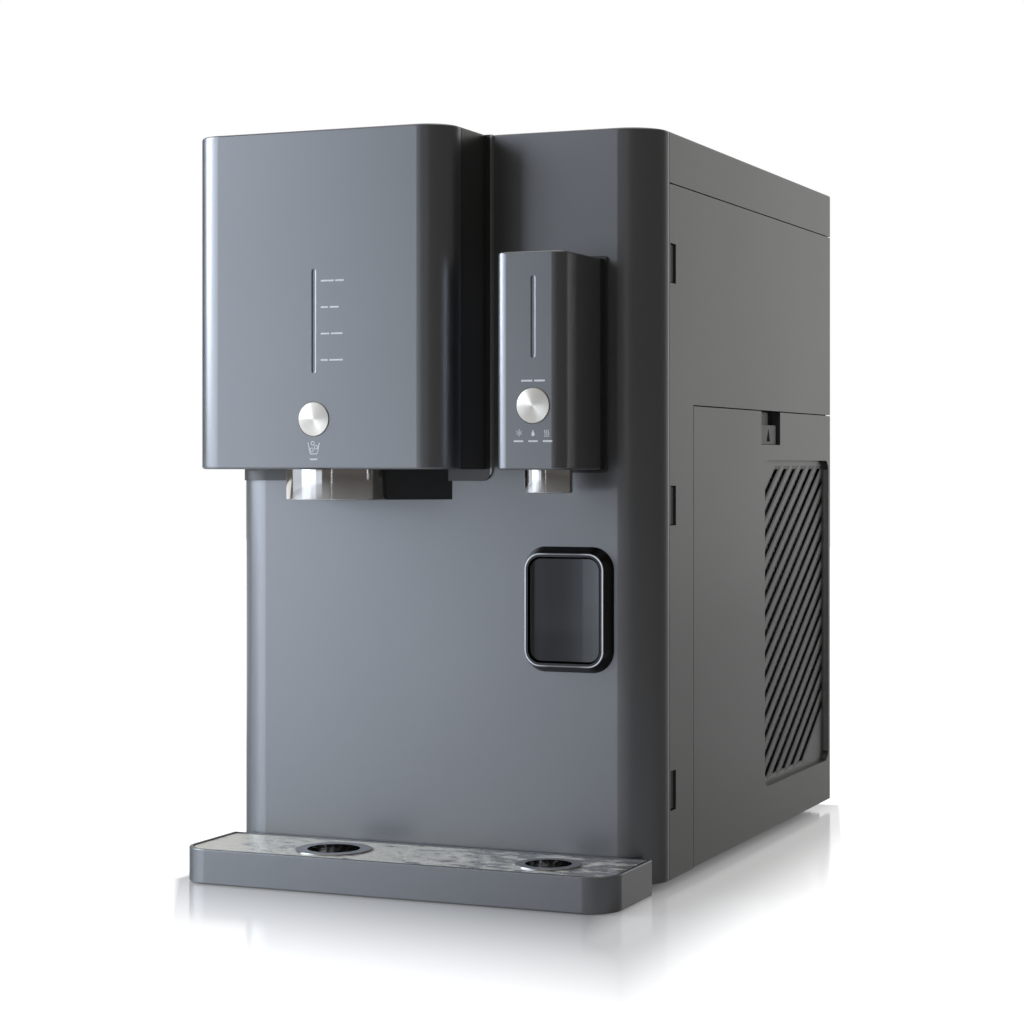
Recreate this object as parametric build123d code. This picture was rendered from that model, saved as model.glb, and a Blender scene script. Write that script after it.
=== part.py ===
from build123d import *
import math
import os

# Countertop water purifier with ice maker, in millimetres.
# The cabinet is drawn with X to the right, Y to the back and Z up. While it is drawn,
# Y = 0 is the flat front face of the cabinet and Z = 0 the lower edge of its panels.
# The last lines stand it on its feet, with the origin under the middle of its base.

# Cabinet
body_width = 310
body_depth = 430
body_height = 490
body_wall = 2.5
corner_radius = 26
front_return = 28
lid_skirt = 33.4
seam_gap = 0.8
edge_radius = 1.5
lid_pads = 3
flange_reach = 12
rear_inset = 2
rear_sheet = 1.2
vent_width = 5

half_width = body_width / 2
inner_x = half_width - body_wall
lid_bottom = body_height - lid_skirt
panel_top = lid_bottom - seam_gap
side_front = front_return + seam_gap
rear_face = body_depth - rear_inset
rear_inner = rear_face - rear_sheet

# Fits, shared by all pieces
overrun = 5
pin_fit = 0.06
slide_fit = 0.4
sheet_wall = 2

# Base and feet
base_floor = 3
base_rib = 3
base_rim = 14
rib_wall = 2
rib_bays = 4
foot_height = 5.5
foot_radius = 13
foot_stem = 4
foot_inset = 34

# Hooks that hold the front cover to the side panels
hook_from = 30
hook_to = 41.5
hook_height = 26
hook_low = 45
hook_high_drop = 99
hook_step = 159
hook_wall = 2.4
hook_barb = 1.4
hook_high = body_height - hook_high_drop
hook_middle = hook_high - hook_step

# Service cover on the right side
service_front_share = 0.1814
service_top_drop = 178
service_jamb = 9
cover_rib = 6
cover_rib_inset = 14
hinge_inset = 8
hinge_height = 6
hinge_pin = 2.5
hinge_eye = 4.6
hinge_lug = 4
hinge_cradle = 8
hinge_from_end = 26
hinge_clear = 15
service_front = body_depth * service_front_share
service_top = body_height - service_top_drop
cover_front = service_front + seam_gap
cover_top = service_top - seam_gap
cover_bottom = seam_gap
hinge_x = half_width - hinge_inset
hinge_edge = half_width - hinge_clear
hinge_ends = (cover_front + hinge_from_end, body_depth - hinge_from_end)

# Sunk air grille of the service cover
grille_from_share = 0.572
grille_end = 5
grille_low = 33
grille_high_drop = 37
grille_depth = 4
grille_radius = 9
grille_margin = 6.5
grille_wall = 1.4
slot_pitch = 15
slot_width = 4.8
slot_angle = 32
slot_drop = 23
grille_from = body_depth * grille_from_share
grille_to = body_depth - grille_end
grille_high = service_top - grille_high_drop

# Latch of the service cover
latch_from_share = 0.551
latch_width = 49
latch_drop = 25.4
latch_depth = 5.5
latch_travel = 6
latch_plate = 2.2
latch_margin = 3
latch_notch = 7
latch_tongue = 20
latch_rail = 2
arrow_width = 9
arrow_height = 10
latch_from = body_depth * latch_from_share
latch_to = latch_from + latch_width
latch_low = service_top - latch_drop

# Ice head
ice_head_inset = 6
ice_head_right_inset = 117.7
ice_head_reach = 66.5
ice_head_seam = 42
ice_head_radius = 20.5
ice_head_height = 221.2
head_wall = 2.5
flange_sheet = 2
flange_side = 4.3
flange_drop = 7.8
flange_radius = 8
ice_control_shift = 1.1
ice_button_rise = 32.7
ice_guide_rise = 63.2
ice_guide_height = 67
board_top_margin = 7
head_bottom = body_height - ice_head_height
flange_low = head_bottom - flange_drop
ice_left = -half_width + ice_head_inset
ice_right = half_width - ice_head_right_inset
ice_x = (ice_left + ice_right) / 2
ice_control_x = ice_x - ice_control_shift
ice_seam_y = -ice_head_seam
ice_button_z = head_bottom + ice_button_rise
ice_guide_low = head_bottom + ice_guide_rise
ice_guide_high = ice_guide_low + ice_guide_height

# Buttons and light guides, the same in both heads
button_radius = 11
button_gap = 0.5
button_proud = 0.7
button_travel = 1.5
button_dish = 0.8
button_edge = 0.4
button_wall = 1.6
button_rim = 1.6
button_rim_wall = 1.2
button_stem = 2.5
collar_wall = 1.5
collar_depth = 5
guide_width = 2
guide_sunk = 0.4
guide_shoulder = 2
guide_shoulder_wall = 2
board_gap = 9
board_wall = 1.6
board_post_shares = (0.08, 0.92)
switch_size = 7
switch_height = 3
post_radius = 2.5
led_width = 4
led_count = 4

# Ice outlet
outlet_y = 32.8
outlet_radius = 35
outlet_height = 20.1
outlet_band = 2
outlet_bore = 28
neck_radius = 30
neck_rise = 5.2
shroud_reach = 68
duct_width = 68
duct_reach = 50
duct_rise = 21.2
duct_height = 60
duct_radius = 6
gate_hinge_drop = 8
gate_hinge_y = 3
gate_wall = 2
gate_pin = 1.5
gate_gap = 1.5
outlet_bottom = head_bottom - outlet_height
neck_top = head_bottom + neck_rise
duct_low = head_bottom + duct_rise
duct_high = duct_low + duct_height
gate_hinge_z = duct_high - gate_hinge_drop
gate_low = duct_low + gate_gap

# Water head
water_head_inset = 57.75
water_head_width = 46.5
water_head_reach = 73.5
water_head_radius = 8
water_head_drop = 85
water_head_height = 136.4
water_frame = 8
water_flange = 2
water_control_shift = 3
water_button_rise = 40.1
water_guide_rise = 70.4
water_guide_height = 50.5
nozzle_y = 40
nozzle_radius = 15.4
nozzle_height = 14.8
nozzle_band = 2.2
nozzle_flange = 2
nozzle_lip = 2
nozzle_bore = 4
nozzle_barb_rise = 17.4
nozzle_web = 4
water_head_centre = half_width - water_head_inset
water_left = water_head_centre - water_head_width / 2
water_right = water_head_centre + water_head_width / 2
water_control_x = water_head_centre + water_control_shift
water_head_top = body_height - water_head_drop
water_head_bottom = water_head_top - water_head_height
water_button_z = water_head_bottom + water_button_rise
water_guide_low = water_head_bottom + water_guide_rise
water_guide_high = water_guide_low + water_guide_height
nozzle_bottom = water_head_bottom - nozzle_height
nozzle_barb_top = water_head_bottom + nozzle_barb_rise

# Push paddle
paddle_inset = 59.6
paddle_drop = 91.5
paddle_width = 63
paddle_height = 82
paddle_reach = 9.5
paddle_taper = 4.2
paddle_radius = 15
paddle_rim = 0.6
paddle_gap = 0.6
paddle_sunk = 2
paddle_wall = 2.4
paddle_crown = 0.8
paddle_dish = 1.2
paddle_pin = 1.5
paddle_pin_reach = 1.6
paddle_hinge_drop = 7
paddle_hinge_back = 5
paddle_skirt = 7
paddle_box_depth = 22
paddle_box_wall = 1.6
micro_width = 20
micro_height = 10
micro_depth = 6
micro_drop = 27.3
leaf_width = 8
leaf_wall = 0.5
leaf_foot = 9
leaf_rise = 12
leaf_drop = 11
leaf_tip = 1
paddle_centre = half_width - paddle_inset
paddle_z = head_bottom - paddle_drop

# Drip tray
tray_inset = 2
tray_reach = 76
tray_top = 17.8
tray_lift = 0.5
tray_radius = 19.5
tray_wall = 2.5
tray_gap = 0.6
tray_edge = 0.8
deck_wall = 1.2
deck_sunk = 0.8
deck_fit = 0.5
ledge_reach = 3
ledge_wall = 2
drain_y = 40
ice_drain_radius = 25.5
ice_drain_bore = 17.5
water_drain_radius = 21.5
water_drain_bore = 15
drain_rim = 1
drain_neck_wall = 1.5
drain_neck = 5
strainer_wall = 1.2
strainer_spoke = 2.2
strainer_spokes = 6
strainer_hub = 5
tongue_width = 24
tongue_height = 5
tongue_z = 7.5
tongue_reach = 10
tongue_inset = 55
tray_half_width = half_width - tray_inset
tray_floor = tray_lift - foot_height
tray_back = -tray_gap
deck_top = tray_top - deck_sunk
deck_bottom = deck_top - deck_wall
tongue_x = half_width - tongue_inset

# Rear pocket and what is in it
pocket_inset = 18
pocket_width = 50
pocket_low = 26
pocket_high = 96
pocket_depth = 28
pocket_sheet = 1.5
tube_radius = 3.175
tube_bore = 2
inlet_inset = 43
inlet_z = 78
drain_z = 46
fitting_radius = 8
fitting_length = 22
fitting_collar = 6.5
fitting_stop = 3
drain_pipe = 7
drain_pipe_wall = 1.6
power_inset = 95
power_z = 45
power_width = 50
power_height = 28
power_depth = 20
power_flange = 2
power_mouth_width = 25
power_mouth_height = 17
power_mouth_depth = 15
power_mouth_slant = 4.2
power_earth_rise = 4.2
power_blade_width = 4
power_blade_wall = 2
power_blade_length = 11
power_blade_spread = 7
screw_head = 3.5
screw_head_height = 1.8
screw_shank = 1.5
screw_length = 7
side_screw_shares = (0.12, 0.5, 0.9)
rear_vent_low = 125
rear_vent_width = 150
rear_vent_pitch = 11
rear_vents = 12
pocket_left = half_width - pocket_inset
inlet_x = half_width - inlet_inset
power_x = half_width - power_inset

# Inner deck that carries the upper parts
deck_drop = 16.8
deck_inset = 5
deck_right_inset = 65
deck_front = 12
deck_back_share = 0.609
leg_size = 11
leg_front_inset = 17
leg_front_step = 38
leg_back_inset = 6
leg_back_step = 40
bracket_drop = 40
deck_z = head_bottom - deck_drop
deck_left = half_width - deck_inset
deck_right = half_width - deck_right_inset
deck_back = body_depth * deck_back_share
bracket_top = body_height - bracket_drop

# Filter cartridges and their manifold
filters = 3
filter_inset = 35
filter_front = 85
filter_back_gap = 31
filter_gap = 4
filter_low = 62
filter_top_gap = 2
filter_neck = 10
filter_neck_reach = 14
filter_dome = 10
filter_lug = 3
filter_lug_wall = 3
manifold_gap = 4
manifold_height = 34
manifold_width = 54
manifold_margin = 3
grip_ribs = 12
grip_width = 3
grip_proud = 1.2
grip_height = 20
filter_x = half_width - filter_inset
filter_pitch = (deck_back - filter_back_gap - filter_front + filter_gap) / filters
filter_radius = (filter_pitch - filter_gap) / 2
filter_first_y = filter_front + filter_radius
filter_places = [filter_first_y + step * filter_pitch for step in range(filters)]
filter_high = deck_z - filter_top_gap
manifold_low = deck_z + manifold_gap
manifold_high = manifold_low + manifold_height
manifold_overhang = filter_radius + manifold_margin

# Tanks
tank_side_gap = 3.5
tank_gap = 3
tank_filter_gap = 21
cold_room_share = 0.64
cold_y_share = 0.2233
cold_low = 18
cold_top_gap = 56
foam_wall = 13
tank_edge = 8
tank_wall = 1.2
hot_y_share = 0.1674
hot_low = 60
hot_top_gap = 67
tank_port = 5
tank_port_height = 5
tank_leg = 5
tank_legs = 3
tank_from = -inner_x + tank_side_gap
tank_to = filter_x - filter_radius - tank_filter_gap
tank_room = tank_to - tank_from - tank_gap
cold_outside = tank_room * cold_room_share / 2
cold_radius = cold_outside - foam_wall
cold_x = tank_from + cold_outside
cold_y = body_depth * cold_y_share
cold_high = deck_z - cold_top_gap
hot_radius = tank_room / 2 - cold_outside
hot_x = tank_to - hot_radius
hot_y = body_depth * hot_y_share
hot_high = deck_z - hot_top_gap

# Cooling set
compressor_x_share = 0.393
compressor_y_share = 0.772
compressor_room_share = 0.704
compressor_low = 18
compressor_seam = 84
compressor_high = 158
compressor_seam_proud = 4
compressor_seam_wall = 5
compressor_dome = 40
compressor_foot = 22
compressor_plate = 4
compressor_plate_inset = 8
compressor_stub = 4
mount_radius = 7
condenser_inset = 25
condenser_width = 25
condenser_end = 20
condenser_low = 45
condenser_rise = 13
condenser_runs = 7
condenser_tube = 4
condenser_fins = 18
fin_wall = 1
fan_side = 13
fan_hub = 18
fan_width = 14
fan_blades = 7
fan_blade_wall = 2
fan_blade_angle = 35
fan_clear = 4
fan_gap = 3
shroud_depth = 9
shroud_wall = 3
fan_motor_radius = 22
fan_motor_length = 30
fan_shaft = 3
strut_size = 5
struts = 3
pipe_radius = 4
pipe_bend = 18
condenser_x = half_width - condenser_inset
condenser_from = deck_back
condenser_to = rear_face - condenser_end
condenser_high = deck_z + condenser_rise
fan_y = (condenser_from + condenser_to) / 2
fan_z = (condenser_low + condenser_high) / 2
fan_radius = (condenser_to - condenser_from) / 2 - fan_side
shroud_x = condenser_x - condenser_width / 2 - shroud_depth
fan_x = shroud_x - fan_gap - fan_width
motor_x = fan_x - fan_gap - fan_motor_length
compressor_room = motor_x + inlet_x
compressor_x = compressor_room * compressor_x_share - inlet_x
compressor_y = body_depth * compressor_y_share
compressor_radius = compressor_room * compressor_room_share / 2
compressor_plate_size = 2 * (compressor_radius - compressor_plate_inset)

# Ice bin and auger
bin_inset = 9
bin_right_inset = 113
bin_front = 30
bin_back_share = 0.5488
bin_drop = 86
bin_waist_drop = 59
bin_wall = 2.5
auger_rise = 47.2
auger_radius = 18
auger_clear = 4
auger_shaft = 4.5
auger_vanes = 11
auger_vane_wall = 2.4
auger_vane_turn = 65
auger_vane_pitch = 30
spout_wall = 2
auger_motor_size = 46
auger_motor_length = 38
auger_bush = 9
auger_tail = 25
bin_foot_width = 20
bin_left = -half_width + bin_inset
bin_right = half_width - bin_right_inset
bin_back = body_depth * bin_back_share
bin_top = body_height - bin_drop
bin_waist = bin_top - bin_waist_drop
auger_z = head_bottom + auger_rise

# Ice maker
maker_margin = 8.5
maker_y_share = 0.2767
ice_tray_share = 0.553
evaporator_step = 8
evaporator_depth = 50
evaporator_drop = 44
evaporator_wall = 12
finger_radius = 4.5
finger_length = 29
finger_columns = 4
finger_rows = 2
ice_tray_depth = 60
ice_tray_height = 24
ice_tray_drop = 12
ice_tray_wall = 2
ice_tray_pin = 3
ice_tray_gap = 2.5
ice_tray_round = 6
rail_width = 8
rail_height = 5
cheek_wall = 2.5
cheek_depth = 84
tray_motor_length = 30
tray_motor_size = 40
ice_tray_length = (bin_right - bin_left) * ice_tray_share
evaporator_length = ice_tray_length - evaporator_step
evaporator_x = bin_left + maker_margin + rail_width + ice_tray_gap + ice_tray_length / 2
evaporator_low = body_height - evaporator_drop
evaporator_high = evaporator_low + evaporator_wall
finger_tip = evaporator_low - finger_length
ice_tray_top = evaporator_low - ice_tray_drop
maker_y = body_depth * maker_y_share

# Electronics, valves and hoses
control_drop = 10
control_height = 120
control_from_share = 0.214
control_to_share = 0.521
control_gap = 7
valve_length = 44
valve_height = 26
valve_depth = 24
valve_step = 28
valve_y_share = 0.4419
coil_radius = 9
coil_length = 22
coil_spread = 11
hose_bend = 12
hose_way_drop = 20
hose_way_y = 28
hose_port_radius = 10
hose_port_rise = 61.4
control_high = bracket_top - control_drop
control_low = control_high - control_height
control_from = body_depth * control_from_share
control_to = body_depth * control_to_share
valve_x = deck_right - valve_step
valve_y = body_depth * valve_y_share
hose_way_z = deck_z - hose_way_drop
hose_port_z = water_head_bottom + hose_port_rise


def block(x_span, y_span, z_span):
    """Block between two X, two Y and two Z places."""
    low = (x_span[0], y_span[0], z_span[0])
    size = (x_span[1] - x_span[0], y_span[1] - y_span[0], z_span[1] - z_span[0])
    return Pos(*low) * Box(*size, align=(Align.MIN, Align.MIN, Align.MIN))


def around(centre, size):
    """Two places, half a size to each side of a centre."""
    return (centre - size / 2, centre + size / 2)


def rod_x(radius, x_span, y, z):
    """Round rod along X."""
    rod = Cylinder(radius, x_span[1] - x_span[0], align=(Align.CENTER, Align.CENTER, Align.MIN))
    return Pos(x_span[0], y, z) * Rot(Y=90) * rod


def rod_y(radius, y_span, x, z):
    """Round rod along Y."""
    rod = Cylinder(radius, y_span[1] - y_span[0], align=(Align.CENTER, Align.CENTER, Align.MIN))
    return Pos(x, y_span[0], z) * Rot(X=-90) * rod


def rod_z(radius, z_span, x, y):
    """Round rod along Z."""
    rod = Cylinder(radius, z_span[1] - z_span[0], align=(Align.CENTER, Align.CENTER, Align.MIN))
    return Pos(x, y, z_span[0]) * rod


def facing_front(outline, y_span, x, z):
    """Solid whose outline is seen from the front, between two Y places."""
    return Pos(x, y_span[1], z) * extrude(Plane.XZ * outline, y_span[1] - y_span[0])


def facing_right(outline, x_span, y, z):
    """Solid whose outline is seen from the right side, between two X places."""
    return Pos(x_span[0], y, z) * extrude(Plane.YZ * outline, x_span[1] - x_span[0])


def front_plan(x_span, y_span, radius):
    """Plan outline, a rectangle with its two front corners rounded."""
    size = (x_span[1] - x_span[0], y_span[1] - y_span[0])
    plan = Pos(x_span[0], y_span[0]) * Rectangle(*size, align=(Align.MIN, Align.MIN))
    return fillet(plan.vertices().group_by(Axis.Y)[0], radius)


def upright(plan, z_span):
    """Solid with a plan outline, between two Z places."""
    return Pos(0, 0, z_span[0]) * extrude(plan, z_span[1] - z_span[0])


def bent_pipe(points, radius, bend, bore=0):
    """Pipe through points, with the same bend at every corner."""
    path = FilletPolyline(*points, radius=bend)
    start = Plane(origin=path @ 0, z_dir=path % 0)
    section = start * Circle(radius)
    if bore:
        section -= start * Circle(bore)
    return sweep(section, path=path)


def base_pan():
    """Moulded base: rim, floor lifted on crossed ribs, pads for the feet and hinge cradles."""
    plan = front_plan((-inner_x, inner_x), (body_wall, rear_inner), corner_radius)
    inside = front_plan((-inner_x + body_wall, inner_x - body_wall),
                        (2 * body_wall, rear_inner - body_wall), corner_radius - body_wall)
    pan = upright(plan, (0, base_rim)) - upright(inside, (-overrun, base_rim + overrun))
    floor_span = (base_rib, base_rib + base_floor)
    pan += upright(inside, floor_span)
    inside_ribs = upright(inside, (0, base_rib))
    grid = Part()
    for step in range(1, rib_bays):
        rib_x = -inner_x + step * 2 * inner_x / rib_bays
        rib_y = step * rear_inner / rib_bays
        grid += block(around(rib_x, rib_wall), (0, rear_inner), (0, base_rib))
        grid += block((-inner_x, inner_x), around(rib_y, rib_wall), (0, base_rib))
    pan += grid & inside_ribs
    pan -= block((hinge_edge, inner_x + overrun), (service_front - service_jamb, body_depth),
                 (-overrun, base_rim + overrun))
    pan += block((hinge_edge - body_wall, hinge_edge), (service_front - service_jamb, rear_inner),
                 (0, base_rim))
    for side in (-1, 1):
        pan -= tongue_slot(side, (0, tongue_reach + slide_fit))
    for x, y in foot_places():
        pan += rod_z(foot_radius, (0, base_rib), x, y)
        pan -= rod_z(foot_stem, (-overrun, floor_span[1] + overrun), x, y)
    for x, y in compressor_mounts():
        pan += rod_z(mount_radius, (base_rib, compressor_low - compressor_plate), x, y)
    for end in hinge_ends:
        pan += hinge_cradle_at(end)
    return pan - rear_screw_holes()


def hinge_cradle_at(end):
    """Eye on the base that holds one pin of the service cover."""
    y_span = around(end, hinge_cradle)
    cradle = block((hinge_edge, hinge_x), y_span, (0, hinge_height + hinge_eye))
    cradle += rod_y(hinge_eye, y_span, hinge_x, hinge_height)
    bore_span = (y_span[0] - overrun, y_span[1] + overrun)
    return cradle - rod_y(hinge_pin + pin_fit, bore_span, hinge_x, hinge_height)


def foot_places():
    """Plan centres of the four feet."""
    return [(side * (half_width - foot_inset), y)
            for side in (-1, 1) for y in (foot_inset, rear_face - foot_inset)]


def rubber_feet():
    """Four rubber feet, each with a stem that plugs into the base."""
    feet = []
    for x, y in foot_places():
        pad = rod_z(foot_radius, (-foot_height, 0), x, y)
        pad = chamfer(pad.edges().group_by(Axis.Z)[0], edge_radius)
        feet.append(pad + rod_z(foot_stem - pin_fit, (-seam_gap, base_rib + base_floor), x, y))
    return Compound(feet)


def cover_outside(z_span=(0, body_height)):
    """Full outside of the front cover, used to fit the head that sits on it."""
    return upright(front_plan((-half_width, half_width), (0, body_depth), corner_radius), z_span)


def front_cover():
    """Wide front cover: flat face, two round uprights and a short return on each side."""
    outer = front_plan((-half_width, half_width), (0, front_return), corner_radius)
    inner = front_plan((-inner_x, inner_x), (body_wall, front_return + overrun),
                       corner_radius - body_wall)
    cover = upright(outer, (0, body_height))
    top_edges = cover.edges().group_by(Axis.Z)[-1].sort_by(Axis.Y)[:-1]
    cover = fillet(top_edges, edge_radius)
    cover -= upright(inner, (-overrun, body_height - body_wall))
    through = (-overrun, body_wall + overrun)
    cover -= rod_y(auger_radius + auger_clear + spout_wall / 2, through, ice_x, auger_z)
    cover -= rod_y(hose_port_radius, through, water_head_centre, hose_port_z)
    cover -= facing_front(RectangleRounded(*paddle_opening()), through, paddle_centre, paddle_z)
    for side in (-1, 1):
        cover -= tongue_slot(side, through)
        for low in (hook_low, hook_middle, hook_high):
            cover += snap_hook(side, low)
    return cover


def tongue_slot(side, y_span):
    """Room for one tongue of the drip tray."""
    return block(around(side * tongue_x, tongue_width + 2 * slide_fit), y_span,
                 (tongue_z - slide_fit, tongue_z + tongue_height + slide_fit))


def snap_hook(side, low):
    """Hook on the return of the front cover, with a barb that shows in the side window."""
    inner = sorted((side * (inner_x - hook_wall), side * inner_x))
    barb = sorted((side * inner_x, side * (inner_x + hook_barb)))
    z_span = (low + seam_gap, low + hook_height - seam_gap)
    arm = block(inner, (corner_radius - hook_wall, hook_to), z_span)
    return arm + block(barb, (hook_from + hook_barb, hook_to - seam_gap), z_span)


def side_skin():
    """Side panel as on the right: skin, rear flange, top tongue and hook windows."""
    skin = block((inner_x, half_width), (side_front, body_depth), (0, panel_top))
    skin += block((inner_x - flange_reach, inner_x), (rear_inner - body_wall, rear_inner),
                  (base_rim, panel_top))
    skin += block((inner_x - body_wall, inner_x), (hook_to + flange_reach, rear_inner - body_wall),
                  (panel_top - flange_reach, lid_bottom + flange_reach))
    for low in (hook_low, hook_middle, hook_high):
        skin -= block((inner_x - overrun, half_width + overrun), (hook_from, hook_to),
                      (low, low + hook_height))
    return skin


def left_side_panel():
    """Plain panel of the left side."""
    return mirror(side_skin(), about=Plane.YZ) - rear_screw_holes()


def right_side_panel():
    """Right side panel, cut out for the service cover and folded in round the opening."""
    opening = block((inner_x - flange_reach - overrun, half_width + overrun),
                    (service_front, body_depth + overrun), (-overrun, service_top))
    jamb_x = (inner_x - service_jamb, inner_x)
    skin = side_skin() - opening
    skin += block(jamb_x, (service_front - body_wall, service_front), (base_rim, service_top))
    skin += block(jamb_x, (service_front - body_wall, rear_inner),
                  (service_top, service_top + body_wall))
    slot_y = (latch_from + latch_margin, latch_to - latch_margin)
    slot_x = (latch_back() - latch_plate - slide_fit, latch_back() + slide_fit)
    skin -= block(slot_x, slot_y, (service_top - overrun, service_top + body_wall + overrun))
    return skin - rear_screw_holes()


def latch_back():
    """X place of the latch pocket's back wall."""
    return half_width - latch_depth


def grille_slots(x_span):
    """Slanted air slots, cut off square at the borders of the grille."""
    y_span = (grille_from + grille_margin, grille_to - grille_margin)
    z_span = (grille_low + grille_margin, grille_high - grille_margin)
    field = facing_right(
        Pos((y_span[0] + y_span[1]) / 2, (z_span[0] + z_span[1]) / 2)
        * Rectangle(y_span[1] - y_span[0], z_span[1] - z_span[0]), x_span, 0, 0)
    room = (y_span[1] - y_span[0], z_span[1] - z_span[0])
    rise = room[0] * math.tan(math.radians(slot_angle))
    slots = int((room[1] + rise - slot_drop) / slot_pitch)
    length = 2 * math.hypot(*room)
    bars = Part()
    for step in range(1, slots):
        start_z = z_span[1] + slot_pitch - slot_drop - step * slot_pitch
        bar = Pos(y_span[0], start_z) * Rot(Z=slot_angle) * Rectangle(length, slot_width)
        bars += facing_right(bar, x_span, 0, 0)
    return field & bars


def service_cover():
    """Lift-off side cover with a sunk grille, a latch pocket and hinge lugs at its foot."""
    skin = block((inner_x, half_width), (cover_front, body_depth), (cover_bottom, cover_top))
    rib_y = (cover_front + cover_rib_inset / 2, body_depth - cover_rib_inset)
    rib_z = (cover_bottom + cover_rib_inset, cover_top - cover_rib_inset / 2)
    rib_x = (inner_x - cover_rib, inner_x)
    ribs = block(rib_x, rib_y, rib_z)
    ribs -= block((rib_x[0] - overrun, rib_x[1]), (rib_y[0] + rib_wall, rib_y[1] - rib_wall),
                  (rib_z[0] + rib_wall, rib_z[1] - rib_wall))
    cover = skin + ribs

    middle_y = (grille_from + grille_to) / 2
    middle_z = (grille_low + grille_high) / 2
    size = (grille_to - grille_from, grille_high - grille_low)
    floor_x = half_width - grille_depth
    backing = RectangleRounded(size[0] + 2 * grille_wall, size[1] + 2 * grille_wall,
                               grille_radius + grille_wall)
    cover += facing_right(backing, (floor_x - grille_wall, inner_x), middle_y, middle_z)
    cover -= facing_right(RectangleRounded(*size, grille_radius), (floor_x, half_width + overrun),
                          middle_y, middle_z)
    cover -= grille_slots((rib_x[0] - overrun, half_width + overrun))

    pocket_y = (latch_from - body_wall, latch_to + body_wall)
    pocket_back = latch_back() - latch_plate - slide_fit
    cover += block((pocket_back - body_wall, inner_x), pocket_y, (latch_low - body_wall, cover_top))
    cover -= block((latch_back(), half_width + overrun), (latch_from, latch_to),
                   (latch_low, cover_top + overrun))
    cover -= block((pocket_back, half_width),
                   (latch_from + latch_rail, latch_to - latch_rail),
                   (latch_low, cover_top + overrun))
    for end in hinge_ends:
        cover += hinge_lug_at(end)
    return cover


def hinge_lug_at(end):
    """Lug at the foot of the cover, with the pin that turns in the base."""
    eye_end = end + hinge_cradle / 2 + slide_fit
    lug_y = (eye_end, eye_end + hinge_lug)
    lug = rod_y(hinge_eye, lug_y, hinge_x, hinge_height)
    lug += block((hinge_x, inner_x), lug_y, around(hinge_height, 2 * hinge_eye))
    pin_y = (end - hinge_cradle / 2 - slide_fit, lug_y[1])
    return lug + rod_y(hinge_pin, pin_y, hinge_x, hinge_height)


def service_latch():
    """Slider in the pocket: plate with a sunk arrow, side runners and a tongue behind."""
    top = cover_top - latch_notch - latch_travel / 2
    bottom = latch_low + slide_fit
    outer_y = (latch_from + latch_rail + slide_fit, latch_to - latch_rail - slide_fit)
    back = latch_back() - latch_plate
    plate = block((back, latch_back()), outer_y, (bottom, top))
    face = (outer_y[0] + latch_margin, outer_y[1] - latch_margin)
    plate += block((latch_back(), half_width - grille_depth / 2), face, (bottom, top))
    middle = (outer_y[0] + outer_y[1]) / 2
    centre_z = (bottom + top) / 2
    arrow = Polygon((-arrow_width / 2, -arrow_height / 2), (arrow_width / 2, -arrow_height / 2),
                    (0, arrow_height / 2), align=None)
    plate -= facing_right(arrow, (half_width - grille_depth, half_width), middle, centre_z)
    tongue_y = around(middle, latch_tongue)
    return plate + block((back, latch_back()), tongue_y, (top, cover_top - seam_gap))


def top_cover():
    """Lid: shallow shell with softened upper edges, on pads above the side panels."""
    lid = block((-half_width, half_width), (side_front, body_depth), (lid_bottom, body_height))
    edges = lid.edges().group_by(Axis.Z)[-1].sort_by(Axis.Y)[1:]
    lid = fillet(edges, edge_radius)
    lid -= block((-inner_x, inner_x), (side_front + body_wall, body_depth - body_wall),
                 (lid_bottom - overrun, body_height - body_wall))
    for side in (-1, 1):
        pad_x = sorted((side * (inner_x - body_wall), side * inner_x))
        for step in range(1, lid_pads + 1):
            lid += block(pad_x, around(body_depth * step / (lid_pads + 1), flange_reach),
                         (lid_bottom + flange_reach, body_height - body_wall))
    return lid


def rear_screw_places():
    """Places of the rear panel's screws, in X and Z."""
    flange_x = inner_x - flange_reach / 2
    left = [(-flange_x, share * panel_top) for share in side_screw_shares]
    right = [(-x, z) for x, z in left if z > service_top]
    foot = [(x, base_rim / 2) for x in (-half_width / 2, 0, half_width / 2)]
    return left + right + foot


def rear_screw_holes():
    """Holes for the rear panel's screws, in the sheet and in the flanges it lies on."""
    span = (rear_face - screw_length - overrun, rear_face + overrun)
    return [rod_y(screw_shank + pin_fit, span, x, z) for x, z in rear_screw_places()]


def rear_panel():
    """Sheet rear panel with vents, holes for its screws and a pocket for the fittings."""
    plate = block((-inner_x + slide_fit, inner_x - slide_fit), (rear_inner, rear_face),
                  (seam_gap, panel_top))
    cut_y = (rear_inner - overrun, rear_face + overrun)
    for step in range(rear_vents):
        z = rear_vent_low + step * rear_vent_pitch
        plate -= facing_front(SlotOverall(rear_vent_width, vent_width), cut_y, compressor_x, z)
    plate -= rear_screw_holes()
    plate -= block((hinge_x, inner_x), cut_y, (-overrun, hinge_height))
    x_span = (-pocket_left, -pocket_left + pocket_width)
    box_x = (x_span[0] - pocket_sheet, x_span[1] + pocket_sheet)
    box_z = (pocket_low - pocket_sheet, pocket_high + pocket_sheet)
    back = rear_face - pocket_depth
    plate += block(box_x, (back - pocket_sheet, rear_face), box_z)
    plate -= block(x_span, (back, rear_face + overrun), (pocket_low, pocket_high))
    hole_y = (back - pocket_sheet - overrun, back + overrun)
    plate -= rod_y(fitting_collar, hole_y, -inlet_x, inlet_z)
    plate -= rod_y(drain_pipe, hole_y, -inlet_x, drain_z)
    mouth = Rectangle(power_width - 2 * power_flange, power_height - 2 * power_flange)
    return plate - facing_front(mouth, cut_y, power_x, power_z)


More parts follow.
